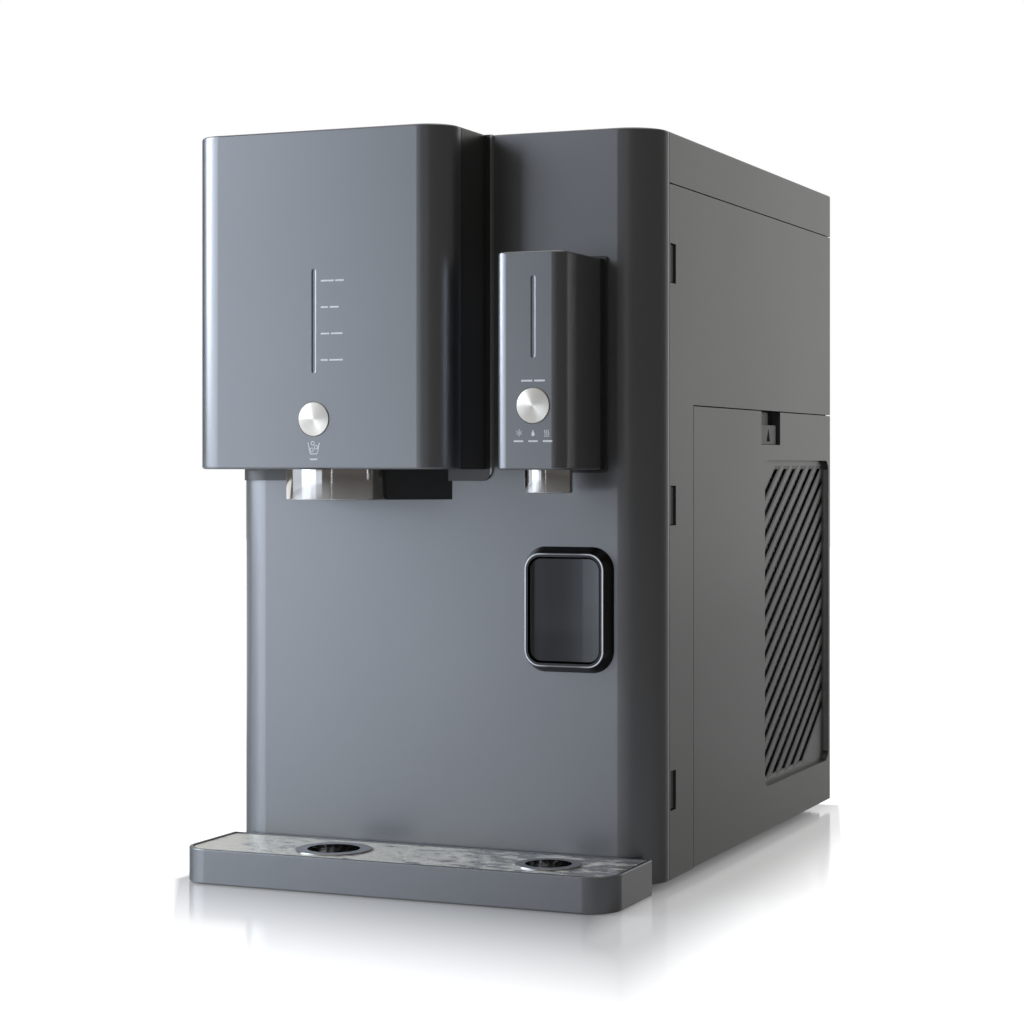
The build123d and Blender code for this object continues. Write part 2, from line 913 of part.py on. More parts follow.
def rear_screws():
    """Screws of the rear panel, heads on the sheet and shanks in the flanges."""
    screws = []
    for x, z in rear_screw_places():
        head = rod_y(screw_head, (rear_face, rear_face + screw_head_height), x, z)
        shank = rod_y(screw_shank, (rear_face - screw_length, rear_face), x, z)
        screws.append(head + shank)
    return Compound(screws)


def water_inlet_fitting():
    """Push-in fitting for the mains water tube, through the floor of the pocket."""
    back = rear_face - pocket_depth
    body = rod_y(fitting_radius, (back, back + fitting_length), -inlet_x, inlet_z)
    body = chamfer(body.edges().group_by(Axis.Y)[-1], edge_radius)
    body += rod_y(fitting_collar - pin_fit, (back - pocket_sheet - seam_gap, back),
                  -inlet_x, inlet_z)
    body += rod_y(fitting_radius, (back - fitting_length, back - pocket_sheet), -inlet_x, inlet_z)
    body -= rod_y(tube_bore, (back - fitting_length, back + fitting_length), -inlet_x, inlet_z)
    for socket in ((back - fitting_length - overrun, back - pocket_sheet - fitting_stop),
                   (back + fitting_stop, back + fitting_length + overrun)):
        body -= rod_y(tube_radius + pin_fit, socket, -inlet_x, inlet_z)
    return body


def drain_fitting():
    """Plain drain spigot of the tanks, with a flange inside the pocket."""
    back = rear_face - pocket_depth
    body = rod_y(drain_pipe - pin_fit, (back - fitting_length, back + fitting_length),
                 -inlet_x, drain_z)
    body += rod_y(drain_pipe + sheet_wall, (back, back + sheet_wall), -inlet_x, drain_z)
    bore = (back - fitting_length - overrun, back + fitting_length + overrun)
    return body - rod_y(drain_pipe - drain_pipe_wall, bore, -inlet_x, drain_z)


def power_inlet():
    """Mains socket: flange on the rear panel, keyed mouth and three blades."""
    body = facing_front(Rectangle(power_width - 2 * power_flange - pin_fit,
                                  power_height - 2 * power_flange - pin_fit),
                        (rear_face - power_depth, rear_face), power_x, power_z)
    body += facing_front(RectangleRounded(power_width, power_height, power_flange),
                         (rear_face, rear_face + power_flange - pin_fit), power_x, power_z)
    mouth = chamfer(Rectangle(power_mouth_width, power_mouth_height).vertices().group_by(Axis.Y)[-1],
                    power_mouth_slant)
    deep = rear_face - power_mouth_depth
    body -= facing_front(mouth, (deep, rear_face + overrun), power_x, power_z)
    for x, z in ((-power_blade_spread, 0), (power_blade_spread, 0), (0, power_earth_rise)):
        blade = Rectangle(power_blade_wall, power_blade_width)
        body += facing_front(blade, (deep, deep + power_blade_length), power_x + x, power_z + z)
    return body


def head_shell(x_span, reach, back, z_span, radius):
    """Front shell of a head: round front uprights, closed above and below, open behind."""
    shell = upright(front_plan(x_span, (-reach, back), radius), z_span)
    front_edges = [edge for edge in shell.edges().group_by(Axis.Z)[-1] + shell.edges().group_by(Axis.Z)[0]
                   if edge.center().Y < back - pin_fit]
    shell = fillet(front_edges, edge_radius)
    inside_x = (x_span[0] + head_wall, x_span[1] - head_wall)
    inside = front_plan(inside_x, (-reach + head_wall, back + overrun), radius - head_wall)
    return shell - upright(inside, (z_span[0] + head_wall, z_span[1] - head_wall))


def head_controls(shell, x, reach, button_z, guide_low, guide_high):
    """Adds the button hole and its collar, the light slot and the posts of the board."""
    face = -reach + head_wall
    collar_bore = button_radius + button_rim + slide_fit
    collar_y = (face - head_wall / 2, face + collar_depth)
    through = (-reach - overrun, face + collar_depth + overrun)
    shell += rod_y(collar_bore + collar_wall, collar_y, x, button_z)
    shell -= rod_y(collar_bore, (face, through[1]), x, button_z)
    shell -= rod_y(button_radius + button_gap, through, x, button_z)
    slot = Rot(Z=90) * SlotOverall(guide_high - guide_low, guide_width + pin_fit)
    shell -= facing_front(slot, through, x, (guide_low + guide_high) / 2)
    for post_x, post_z in board_posts(x, button_z, guide_high):
        shell += rod_y(post_radius, (face - head_wall / 2, face + board_gap), post_x, post_z)
    return shell


def board_size(button_z, guide_high):
    """Lower and upper edge of a switch board."""
    return (button_z - button_radius - post_radius, guide_high + board_top_margin)


def board_half_width():
    """Half the width of a switch board."""
    return button_radius + 2 * post_radius


def board_posts(x, button_z, guide_high):
    """Places of the four posts that carry a switch board."""
    low, high = board_size(button_z, guide_high)
    reach = board_half_width() - post_radius
    return [(x + side * reach, z) for side in (-1, 1) for z in (low + post_radius, high - post_radius)]


def control_button(x, reach, z):
    """Turned metal button: dished cap, rim behind the face and a stem to the switch."""
    front = -reach - button_proud
    face = -reach + head_wall
    rim_y = (face + slide_fit / 2, face + slide_fit / 2 + button_rim_wall)
    stem_end = face + board_gap - switch_height - button_travel - pin_fit
    half = Polyline((0, front + button_dish), (button_radius - button_wall, front),
                    (button_radius - button_edge, front), (button_radius, front + button_edge),
                    (button_radius, rim_y[0]), (button_radius + button_rim, rim_y[0]),
                    (button_radius + button_rim, rim_y[1]),
                    (button_radius - button_wall, rim_y[1]),
                    (button_radius - button_wall, front + button_dish + button_wall),
                    (button_stem, front + button_dish + button_wall), (button_stem, stem_end),
                    (0, stem_end), close=True)
    return Pos(x, 0, z) * revolve(make_face(half), Axis.Y)


def light_guide(x, reach, z_span):
    """Clear round-ended bar in the light slot, with a shoulder that rests behind the face."""
    face = -reach + head_wall
    outline = Rot(Z=90) * SlotOverall(z_span[1] - z_span[0] - pin_fit, guide_width - pin_fit)
    bar = facing_front(outline, (-reach + guide_sunk, face), x, (z_span[0] + z_span[1]) / 2)
    return bar + block(around(x, guide_width + 2 * guide_shoulder),
                       (face, face + guide_shoulder_wall),
                       (z_span[0] - guide_shoulder, z_span[1] + guide_shoulder))


def switch_board(x, reach, button_z, guide_low, guide_high):
    """Circuit board on the posts, with the button's switch and the lamps of the guide."""
    front = -reach + head_wall + board_gap
    board = block(around(x, 2 * board_half_width()), (front, front + board_wall),
                  board_size(button_z, guide_high))
    board += block(around(x, switch_size), (front - switch_height, front),
                   around(button_z, switch_size))
    for step in range(led_count):
        z = guide_low + (guide_high - guide_low) * (step + 1 / 2) / led_count
        board += block(around(x, led_width), (front - switch_height, front), around(z, led_width))
    return board


def ice_head_shell():
    """Front shell of the ice head."""
    shell = head_shell((ice_left, ice_right), ice_head_reach, ice_seam_y - seam_gap / 2,
                       (head_bottom, body_height), ice_head_radius)
    shell = head_controls(shell, ice_control_x, ice_head_reach, ice_button_z,
                          ice_guide_low, ice_guide_high)
    hole = (head_bottom - overrun, head_bottom + head_wall + overrun / 2)
    return shell - rod_z(neck_radius + slide_fit, hole, ice_x, -outlet_y)


def ice_head_housing():
    """Rear part of the ice head, with a lip that follows the cabinet's face and its corner."""
    y_span = (ice_seam_y + seam_gap / 2, corner_radius)
    frame = block((ice_left, ice_right), y_span, (head_bottom, body_height))
    top_edges = frame.edges().filter_by(Axis.Y).group_by(Axis.Z)[-1]
    frame = fillet(top_edges, edge_radius)
    frame -= block((ice_left + head_wall, ice_right - head_wall),
                   (y_span[0] - overrun, y_span[1] + overrun),
                   (head_bottom + head_wall, body_height - head_wall))
    lip_x = (ice_left, ice_right + flange_side)
    lip_size = (lip_x[1] - lip_x[0], body_height - flange_low)
    outline = Rectangle(*lip_size)
    outline = fillet(outline.vertices().group_by(Axis.Y)[0].sort_by(Axis.X)[-1], flange_radius)
    middle = ((lip_x[0] + lip_x[1]) / 2, (flange_low + body_height) / 2)
    around_corner = front_plan((-half_width - flange_sheet, half_width + flange_sheet),
                               (-flange_sheet, body_depth), corner_radius + flange_sheet)
    lip = facing_front(outline, (-flange_sheet, corner_radius), *middle)
    lip &= upright(around_corner, (flange_low, body_height))
    lip -= block((ice_left + head_wall, ice_right - head_wall), (-overrun, corner_radius + overrun),
                 (head_bottom + head_wall, body_height - head_wall))
    hole = (flange_low - overrun, head_bottom + head_wall + overrun / 2)
    housing = frame + lip - cover_outside((flange_low - overrun, body_height + overrun))
    return housing - rod_z(neck_radius + slide_fit, hole, ice_x, -outlet_y)


def ice_outlet_ring():
    """Bright half band round the front of the ice outlet."""
    span = (outlet_bottom, head_bottom)
    band = rod_z(outlet_radius, span, ice_x, -outlet_y)
    band = fillet(band.edges().group_by(Axis.Z)[0], edge_radius / 2)
    band -= rod_z(outlet_radius - outlet_band, (span[0] - overrun, span[1] + overrun), ice_x, -outlet_y)
    keep = block(around(ice_x, 2 * outlet_radius), (-outlet_y - outlet_radius, -outlet_y), span)
    return band & keep


def ice_chute():
    """Spout body: duct at the cabinet's port, funnel, round neck and shroud under the head."""
    cx = ice_x
    cy = -outlet_y
    shroud_plan = Polygon((cx - outlet_radius, 0), (cx - outlet_radius, cy), (cx + outlet_radius, cy),
                          (cx + shroud_reach, 0), align=None)
    shroud_plan += Pos(cx, cy) * Circle(outlet_radius - outlet_band - pin_fit)
    chute = upright(shroud_plan, (outlet_bottom, head_bottom))
    chute -= block((cx - shroud_reach - overrun, cx + shroud_reach + overrun), (0, -cy), (0, body_height))
    chute -= block((ice_left, ice_right + flange_side), (-flange_sheet, 0), (flange_low, body_height))
    chute += rod_z(neck_radius, (head_bottom, neck_top), cx, cy)
    duct_y = -duct_reach / 2
    lower = Pos(cx, cy, neck_top) * Circle(neck_radius)
    upper = Pos(cx, duct_y, duct_low) * RectangleRounded(duct_width, duct_reach, duct_radius)
    chute += loft([lower, upper])
    chute += block(around(cx, duct_width), (-duct_reach, 0), (duct_low, duct_high))

    inside = rod_z(outlet_bore, (outlet_bottom - overrun, neck_top), cx, cy)
    lower = Pos(cx, cy, neck_top) * Circle(outlet_bore)
    upper = Pos(cx, duct_y, duct_low) * RectangleRounded(duct_width - 2 * sheet_wall,
                                                         duct_reach - 2 * sheet_wall, duct_radius)
    inside += loft([lower, upper])
    inside += block(around(cx, duct_width - 2 * sheet_wall), (-duct_reach + sheet_wall, overrun),
                    (duct_low, duct_high - sheet_wall))
    chute -= inside
    pin_x = around(cx, duct_width + overrun)
    return chute - rod_x(gate_pin + pin_fit, pin_x, -gate_hinge_y, gate_hinge_z)


def ice_gate():
    """Flap in front of the port, hung on two moulded pins."""
    width = duct_width - 2 * sheet_wall - 2 * seam_gap
    plate = block(around(ice_x, width), around(-gate_hinge_y, gate_wall), (gate_low, gate_hinge_z))
    plate += rod_x(gate_pin + gate_wall / 2, around(ice_x, width), -gate_hinge_y, gate_hinge_z)
    return plate + rod_x(gate_pin, around(ice_x, duct_width - pin_fit), -gate_hinge_y, gate_hinge_z)


def water_head_shell():
    """Front shell of the water head."""
    shell = head_shell((water_left, water_right), water_head_reach, -water_frame - seam_gap / 2,
                       (water_head_bottom, water_head_top), water_head_radius)
    shell = head_controls(shell, water_control_x, water_head_reach, water_button_z,
                          water_guide_low, water_guide_high)
    hole = (water_head_bottom - overrun, water_head_bottom + head_wall + overrun / 2)
    return shell - rod_z(nozzle_radius - nozzle_band, hole, water_head_centre, -nozzle_y)


def water_head_housing():
    """Rear frame of the water head, with a narrow flange on the cabinet's face."""
    z_span = (water_head_bottom, water_head_top)
    frame = block((water_left, water_right), (-water_frame + seam_gap / 2, 0), z_span)
    flange = RectangleRounded(water_head_width + 2 * water_flange,
                              z_span[1] - z_span[0] + 2 * water_flange, water_flange)
    frame += facing_front(flange, (-water_flange, 0), water_head_centre, (z_span[0] + z_span[1]) / 2)
    hollow_x = (water_left + head_wall, water_right - head_wall)
    return frame - block(hollow_x, (-water_frame - overrun, overrun),
                         (z_span[0] + head_wall, z_span[1] - head_wall))


def nozzle_ring():
    """Bright ring round the water nozzle."""
    z_span = (nozzle_bottom, water_head_bottom)
    ring = rod_z(nozzle_radius, z_span, water_head_centre, -nozzle_y)
    ring = fillet(ring.edges().group_by(Axis.Z)[0], edge_radius / 2)
    bore = (z_span[0] - overrun, z_span[1] + overrun)
    return ring - rod_z(nozzle_radius - nozzle_band, bore, water_head_centre, -nozzle_y)


def water_nozzle():
    """Dark nozzle body: flange inside the head, sleeve in the ring, spout and hose stub."""
    sleeve = nozzle_radius - nozzle_band - pin_fit
    floor_z = water_head_bottom + head_wall
    low = nozzle_bottom + nozzle_lip
    body = rod_z(sleeve, (low, floor_z), water_head_centre, -nozzle_y)
    body += rod_z(sleeve + nozzle_flange, (floor_z, floor_z + nozzle_flange),
                  water_head_centre, -nozzle_y)
    hollow = (low - overrun, floor_z - nozzle_web)
    body -= rod_z(sleeve - nozzle_flange, hollow, water_head_centre, -nozzle_y)
    body += rod_z(nozzle_bore + sheet_wall, (nozzle_bottom + nozzle_lip / 2, nozzle_barb_top),
                  water_head_centre, -nozzle_y)
    return body - rod_z(nozzle_bore - seam_gap, (nozzle_bottom - overrun, nozzle_barb_top + overrun),
                        water_head_centre, -nozzle_y)


def paddle_opening():
    """Width, height and corner radius of the opening that the paddle moves in."""
    side = paddle_taper + paddle_rim
    return (paddle_width - 2 * side, paddle_height - 2 * side, paddle_radius - side)


def paddle_bezel():
    """Frame of the push plate: tapered sides, narrow rim and a box behind the cabinet face."""
    back = Plane.XZ * RectangleRounded(paddle_width, paddle_height, paddle_radius)
    front = Plane.XZ.offset(paddle_reach) * RectangleRounded(
        paddle_width - 2 * paddle_taper, paddle_height - 2 * paddle_taper,
        paddle_radius - paddle_taper)
    frame = Pos(paddle_centre, 0, paddle_z) * loft([back, front])
    width, height, radius = paddle_opening()
    frame += facing_front(RectangleRounded(width - pin_fit, height - pin_fit, radius),
                          (0, paddle_box_depth), paddle_centre, paddle_z)
    well = RectangleRounded(width - 2 * paddle_box_wall, height - 2 * paddle_box_wall,
                            radius - paddle_box_wall)
    frame -= facing_front(well, (-paddle_reach - overrun, paddle_box_depth - paddle_box_wall),
                          paddle_centre, paddle_z)
    pin_x = around(paddle_centre, width - 2 * paddle_box_wall + 2 * paddle_pin_reach)
    return frame - rod_x(paddle_pin + pin_fit, pin_x, -paddle_hinge_y(), paddle_hinge_z())


def paddle_hinge_y():
    """How far the paddle's hinge lies in front of the cabinet face."""
    return paddle_reach - paddle_hinge_back


def paddle_hinge_z():
    """Height of the paddle's hinge."""
    return paddle_z + paddle_opening()[1] / 2 - paddle_box_wall - paddle_hinge_drop


def paddle_plate():
    """Push plate with a shallow dished front, side skirts and moulded hinge pins."""
    width, height, radius = paddle_opening()
    trim = 2 * (paddle_box_wall + paddle_gap)
    size = (width - trim, height - trim)
    front = -paddle_reach + paddle_sunk
    outline = RectangleRounded(*size, radius - paddle_box_wall - paddle_gap)
    plate = facing_front(outline, (front, front + paddle_skirt), paddle_centre, paddle_z)
    dish = ((size[0] / 2) ** 2 + paddle_dish ** 2) / (2 * paddle_dish)
    plate -= rod_z(dish, around(paddle_z, height), paddle_centre, front + paddle_dish - dish)
    dished = plate.faces().filter_by(GeomType.CYLINDER).sort_by(SortBy.AREA)[-1]
    plate = fillet(dished.edges(), paddle_crown)
    hollow = RectangleRounded(size[0] - 2 * paddle_box_wall, size[1] - 2 * paddle_box_wall,
                              radius - 2 * paddle_box_wall - paddle_gap)
    plate -= facing_front(hollow, (front + paddle_wall, front + paddle_skirt + overrun),
                          paddle_centre, paddle_z)
    inside = width - 2 * paddle_box_wall
    pin_x = around(paddle_centre, inside + 2 * paddle_pin_reach - pin_fit)
    return plate + rod_x(paddle_pin, pin_x, -paddle_hinge_y(), paddle_hinge_z())


def paddle_spring():
    """Return spring: a leaf fixed to the back of the box, its rounded tip behind the plate."""
    back = paddle_box_depth - paddle_box_wall
    bend = (back - leaf_wall / 2, leaf_rise)
    tip = (-paddle_reach + paddle_sunk + paddle_wall + leaf_tip + pin_fit, -leaf_drop)
    run = (tip[0] - bend[0], tip[1] - bend[1])
    middle = ((tip[0] + bend[0]) / 2, (tip[1] + bend[1]) / 2)
    slope = math.degrees(math.atan2(run[1], run[0]))
    leaf = Pos(*middle) * Rot(Z=slope) * SlotCenterToCenter(math.hypot(*run), leaf_wall)
    leaf += Pos(bend[0], leaf_rise + leaf_foot / 2) * Rectangle(leaf_wall, leaf_foot)
    leaf += Pos(*tip) * Circle(leaf_tip)
    return facing_right(leaf, around(paddle_centre, leaf_width), 0, paddle_z)


def paddle_switch():
    """Small switch behind the lower half of the plate, with its plunger."""
    back = paddle_box_depth - paddle_box_wall
    z = paddle_z - micro_drop
    body = block(around(paddle_centre, micro_width), (back - micro_depth, back),
                 around(z, micro_height))
    return body + rod_y(paddle_pin, (back - micro_depth - paddle_pin, back - micro_depth),
                        paddle_centre, z)


def tray_inside(inset):
    """Plan outline inside the tray, at an inset from its outside."""
    return front_plan((-tray_half_width + inset, tray_half_width - inset),
                      (-tray_reach + inset, tray_back - inset), tray_radius - inset)


def tray_body():
    """Drip tray: open pan with a ledge for the deck and two tongues behind."""
    pan = upright(tray_inside(0), (tray_floor, tray_top))
    outer_edges = pan.edges().group_by(Axis.Z)[0] + pan.edges().group_by(Axis.Z)[-1]
    pan = fillet(outer_edges, tray_edge)
    ledge = tray_wall + ledge_reach
    pan -= upright(tray_inside(tray_wall), (deck_bottom, tray_top + overrun))
    pan -= upright(tray_inside(ledge), (deck_bottom - ledge_wall, tray_top))
    pan -= upright(tray_inside(tray_wall), (tray_floor + tray_wall, deck_bottom - ledge_wall))
    for side in (-1, 1):
        pan += block(around(side * tongue_x, tongue_width), (tray_back - tray_wall / 2, tongue_reach),
                     (tongue_z, tongue_z + tongue_height))
    return pan


def drains():
    """Centre, outer radius and bore radius of each of the two drain rings."""
    return [(ice_x, ice_drain_radius, ice_drain_bore),
            (water_head_centre, water_drain_radius, water_drain_bore)]


def tray_deck():
    """Polished plate in the tray, with a hole for each drain ring."""
    deck = upright(tray_inside(tray_wall + deck_fit), (deck_bottom, deck_top))
    through = (deck_bottom - overrun, deck_top + overrun)
    for x, radius, bore in drains():
        deck -= rod_z(bore + drain_neck_wall, through, x, -drain_y)
    return deck


def drain_ring(x, radius, bore):
    """Ring in the deck: rounded rim, neck through the plate and a spoked strainer."""
    rim = rod_z(radius, (deck_top, deck_top + drain_rim), 0, 0)
    rim = fillet(rim.edges().group_by(Axis.Z)[-1], drain_rim / 2)
    ring = rim + rod_z(bore + drain_neck_wall - pin_fit, (deck_bottom - drain_neck, deck_top), 0, 0)
    ring -= rod_z(bore, (deck_bottom - drain_neck - overrun, tray_top + overrun), 0, 0)
    web = (deck_bottom - drain_neck, deck_bottom - drain_neck + strainer_wall)
    for step in range(strainer_spokes):
        spoke = block((0, bore + drain_neck_wall / 2), around(0, strainer_spoke), web)
        ring += Rot(Z=step * 360 / strainer_spokes) * spoke
    ring += rod_z(strainer_hub, web, 0, 0)
    return Pos(x, -drain_y, 0) * ring


def chassis_frame():
    """Sheet deck on four legs, with an upright bracket for the manifold and the board."""
    plan = front_plan((-deck_left, deck_right), (deck_front, deck_back), corner_radius - body_wall)
    deck = upright(plan, (deck_z, deck_z + sheet_wall))
    back = deck_back - leg_size
    corners = [(leg_front_inset - half_width, deck_front), (deck_right - leg_front_step, deck_front),
               (leg_back_inset - half_width, back), (deck_right - leg_back_step, back)]
    for x, y in corners:
        z_span = (base_rib + base_floor, deck_z)
        deck += block((x, x + leg_size), (y, y + leg_size), z_span)
        deck -= block((x + sheet_wall, x + leg_size - sheet_wall),
                      (y + sheet_wall, y + leg_size + overrun), (0, deck_z - sheet_wall))
    deck += block((deck_right - sheet_wall, deck_right), bracket_span(), (deck_z, bracket_top))
    return deck


def bracket_span():
    """Y places of the bracket beside the filters."""
    return (filter_places[0] - manifold_overhang, filter_places[-1] + manifold_overhang)


def filter_manifold():
    """Water head of the filters: bar with three turning sockets and slots for their lugs."""
    bar = block((deck_right, deck_right + manifold_width), bracket_span(),
                (manifold_low, manifold_high))
    upper = bar.edges().filter_by(Axis.Y).group_by(Axis.Z)[-1].sort_by(Axis.X)[-1]
    bar = fillet(upper, filter_neck)
    socket_top = filter_high + filter_neck_reach + pin_fit
    for y in filter_places:
        bar -= rod_z(filter_neck + pin_fit, (manifold_low - overrun, socket_top), filter_x, y)
        bar -= rod_z(filter_neck + filter_lug + slide_fit,
                     (manifold_low + filter_lug_wall - slide_fit,
                      manifold_low + 2 * filter_lug_wall + slide_fit), filter_x, y)
        bar -= block(around(filter_x, filter_neck + 2 * slide_fit),
                     around(y, 2 * (filter_neck + filter_lug + slide_fit)),
                     (manifold_low - overrun, manifold_low + filter_lug_wall))
    return bar


def filter_cartridge(y):
    """Cartridge: domed bottle, ribbed grip, neck and two locking lugs."""
    profile = Polyline((0, filter_low), (filter_radius - filter_dome, filter_low),
                       (filter_radius, filter_low + filter_dome),
                       (filter_radius, filter_high - filter_dome),
                       (filter_neck + filter_lug, filter_high), (filter_neck, filter_high),
                       (filter_neck, filter_high + filter_neck_reach),
                       (0, filter_high + filter_neck_reach), close=True)
    bottle = revolve(make_face(Plane.XZ * profile), Axis.Z)
    lug_z = (manifold_low + filter_lug_wall, manifold_low + 2 * filter_lug_wall)
    lugs = block(around(0, 2 * filter_neck + 2 * filter_lug - slide_fit), around(0, filter_neck), lug_z)
    bottle += lugs & rod_z(filter_neck + filter_lug, lug_z, 0, 0)
    grip = (filter_low + filter_dome, filter_low + filter_dome + grip_height)
    for step in range(grip_ribs):
        rib = block((filter_radius - grip_width, filter_radius + grip_proud),
                    around(0, grip_width), grip)
        bottle += Rot(Z=step * 360 / grip_ribs) * rib
    return Pos(filter_x, y, 0) * bottle


def tank_shape(radius, low, high, edge):
    """Round tank with dished ends."""
    body = rod_z(radius, (low, high), 0, 0)
    return fillet(body.edges().group_by(Axis.Z)[0] + body.edges().group_by(Axis.Z)[-1], edge)


def tank_inside(radius, low, high):
    """Water space of a tank."""
    return tank_shape(radius - tank_wall, low + tank_wall, high - tank_wall, tank_edge - tank_wall)


def cold_tank():
    """Stainless cold-water tank with its outlet."""
    place = Pos(cold_x, cold_y, 0)
    top = cold_high + foam_wall + tank_port_height
    body = place * tank_shape(cold_radius, cold_low, cold_high, tank_edge)
    body += rod_z(tank_port, (cold_high - tank_edge, top), cold_port_x(), cold_y)
    body -= place * tank_inside(cold_radius, cold_low, cold_high)
    return body - rod_z(tube_bore, (cold_high - tank_edge, top + overrun), cold_port_x(), cold_y)


def cold_port_x():
    """X place of the cold tank's outlet."""
    return cold_x + cold_radius / 2


def cold_tank_insulation():
    """Foam jacket round the cold tank, standing on the base."""
    jacket = rod_z(cold_radius + foam_wall, (base_rib + base_floor, cold_high + foam_wall),
                   cold_x, cold_y)
    jacket -= Pos(cold_x, cold_y, 0) * tank_shape(cold_radius, cold_low, cold_high, tank_edge)
    return jacket - rod_z(tank_port, (cold_high - tank_edge, cold_high + foam_wall + overrun),
                          cold_port_x(), cold_y)


def hot_tank():
    """Hot-water tank on three legs, with a flange of the heater on top."""
    body = tank_shape(hot_radius, hot_low, hot_high, tank_edge)
    body += rod_z(hot_radius / 2, (hot_high - tank_edge, hot_high + tank_port), 0, 0)
    body += rod_z(tank_port, (hot_high, hot_high + 2 * tank_port_height), 0, 0)
    for step in range(tank_legs):
        leg = rod_z(tank_leg, (base_rib + base_floor, hot_low + tank_edge),
                    hot_radius - tank_edge - 2 * tank_leg, 0)
        body += Rot(Z=step * 360 / tank_legs) * leg
    body -= tank_inside(hot_radius, hot_low, hot_high)
    body -= rod_z(tube_bore, (hot_high - tank_edge, hot_high + 2 * tank_port_height + overrun), 0, 0)
    return Pos(hot_x, hot_y, 0) * body


def compressor_mounts():
    """Plan centres of the compressor's rubber mounts."""
    reach = compressor_plate_size / 2 - mount_radius
    return [(compressor_x + side * reach, compressor_y + end * reach)
            for side in (-1, 1) for end in (-1, 1)]


def compressor():
    """Domed compressor can with its seam, foot plate and pipe stubs."""
    can = rod_z(compressor_radius, (compressor_low, compressor_high), 0, 0)
    can = fillet(can.edges().group_by(Axis.Z)[-1], compressor_dome)
    can = fillet(can.edges().group_by(Axis.Z)[0], compressor_foot)
    can += rod_z(compressor_radius + compressor_seam_proud,
                 (compressor_seam, compressor_seam + compressor_seam_wall), 0, 0)
    plate = RectangleRounded(compressor_plate_size, compressor_plate_size, mount_radius)
    can += upright(plate, (compressor_low - compressor_plate, compressor_low))
    can = Pos(compressor_x, compressor_y, 0) * can
    for x in compressor_ports():
        can += rod_z(compressor_stub, (compressor_seam, compressor_high), x, compressor_y)
    return can


def compressor_ports():
    """X places of the suction and discharge stubs."""
    reach = compressor_radius - 2 * compressor_stub
    return (compressor_x - reach, compressor_x + reach)


def condenser_levels():
    """Heights of the condenser's tube runs."""
    room = condenser_high - condenser_low
    return [condenser_low + room * (step + 1 / 2) / condenser_runs for step in range(condenser_runs)]


def condenser_inlet_y():
    """Y place of the condenser's inlet stub, behind its last fin."""
    return condenser_to - condenser_tube


def condenser():
    """Condenser: one tube to and fro through upright fins, with its inlet stub."""
    levels = condenser_levels()
    reach = (levels[1] - levels[0]) / 2
    ends = (condenser_from + reach, condenser_to - reach)
    coil = Part()
    for z in levels:
        coil += rod_y(condenser_tube, ends, condenser_x, z)
    for step, z in enumerate(levels[:-1]):
        end = ends[(step + 1) % 2]
        toward = 1 if step % 2 == 0 else -1
        bend = revolve(Plane.XZ * Pos(0, reach) * Circle(condenser_tube), Axis.X,
                       revolution_arc=toward * -180)
        coil += Pos(condenser_x, end, z + reach) * bend
    inlet = condenser_inlet_y()
    coil += rod_y(condenser_tube, (ends[1], inlet), condenser_x, levels[-1])
    coil += Pos(condenser_x, inlet, levels[-1]) * Sphere(condenser_tube)
    coil += rod_z(condenser_tube, (levels[-1], condenser_high), condenser_x, inlet)
    fin_z = (condenser_low, condenser_high)
    room = ends[1] - ends[0]
    for step in range(condenser_fins):
        y = ends[0] + room * (step + 1 / 2) / condenser_fins
        coil += block(around(condenser_x, condenser_width), around(y, fin_wall), fin_z)
    return coil


def fan_shroud():
    """Square frame with a round mouth, and three struts that carry the motor."""
    y_span = (condenser_from, condenser_to)
    z_span = (condenser_low, condenser_high)
    x_span = (shroud_x, shroud_x + shroud_depth)
    frame = block(x_span, y_span, z_span)
    frame -= block((x_span[0] + shroud_wall, x_span[1] + overrun),
                   (y_span[0] + shroud_wall, y_span[1] - shroud_wall),
                   (z_span[0] + shroud_wall, z_span[1] - shroud_wall))
    frame -= rod_x(fan_radius + fan_clear, (x_span[0] - overrun, x_span[1]), fan_y, fan_z)
    foot_y = around(fan_y, 2 * fan_radius)
    frame += block(x_span, foot_y, (base_rib + base_floor, z_span[0]))
    ring_x = (motor_x, motor_x + strut_size)
    frame += rod_x(fan_motor_radius + shroud_wall, ring_x, fan_y, fan_z)
    post = fan_radius + fan_clear + strut_size
    for step in range(struts):
        arm = block(ring_x, around(0, strut_size), (fan_motor_radius, post + strut_size))
        arm += block((motor_x, shroud_x + shroud_wall), around(0, strut_size),
                     (post, post + strut_size))
        frame += Pos(0, fan_y, fan_z) * Rot(X=step * 360 / struts) * arm
    bore = (ring_x[0] - overrun, ring_x[1] + overrun)
    return frame - rod_x(fan_motor_radius, bore, fan_y, fan_z)


def fan_motor():
    """Fan motor in the ring of the shroud."""
    body_x = (motor_x, motor_x + fan_motor_length)
    body = rod_x(fan_motor_radius, body_x, fan_y, fan_z)
    body = fillet(body.edges().group_by(Axis.X)[0], edge_radius)
    return body - rod_x(fan_shaft + pin_fit, (body_x[1] - fan_motor_length / 2, body_x[1] + overrun),
                        fan_y, fan_z)


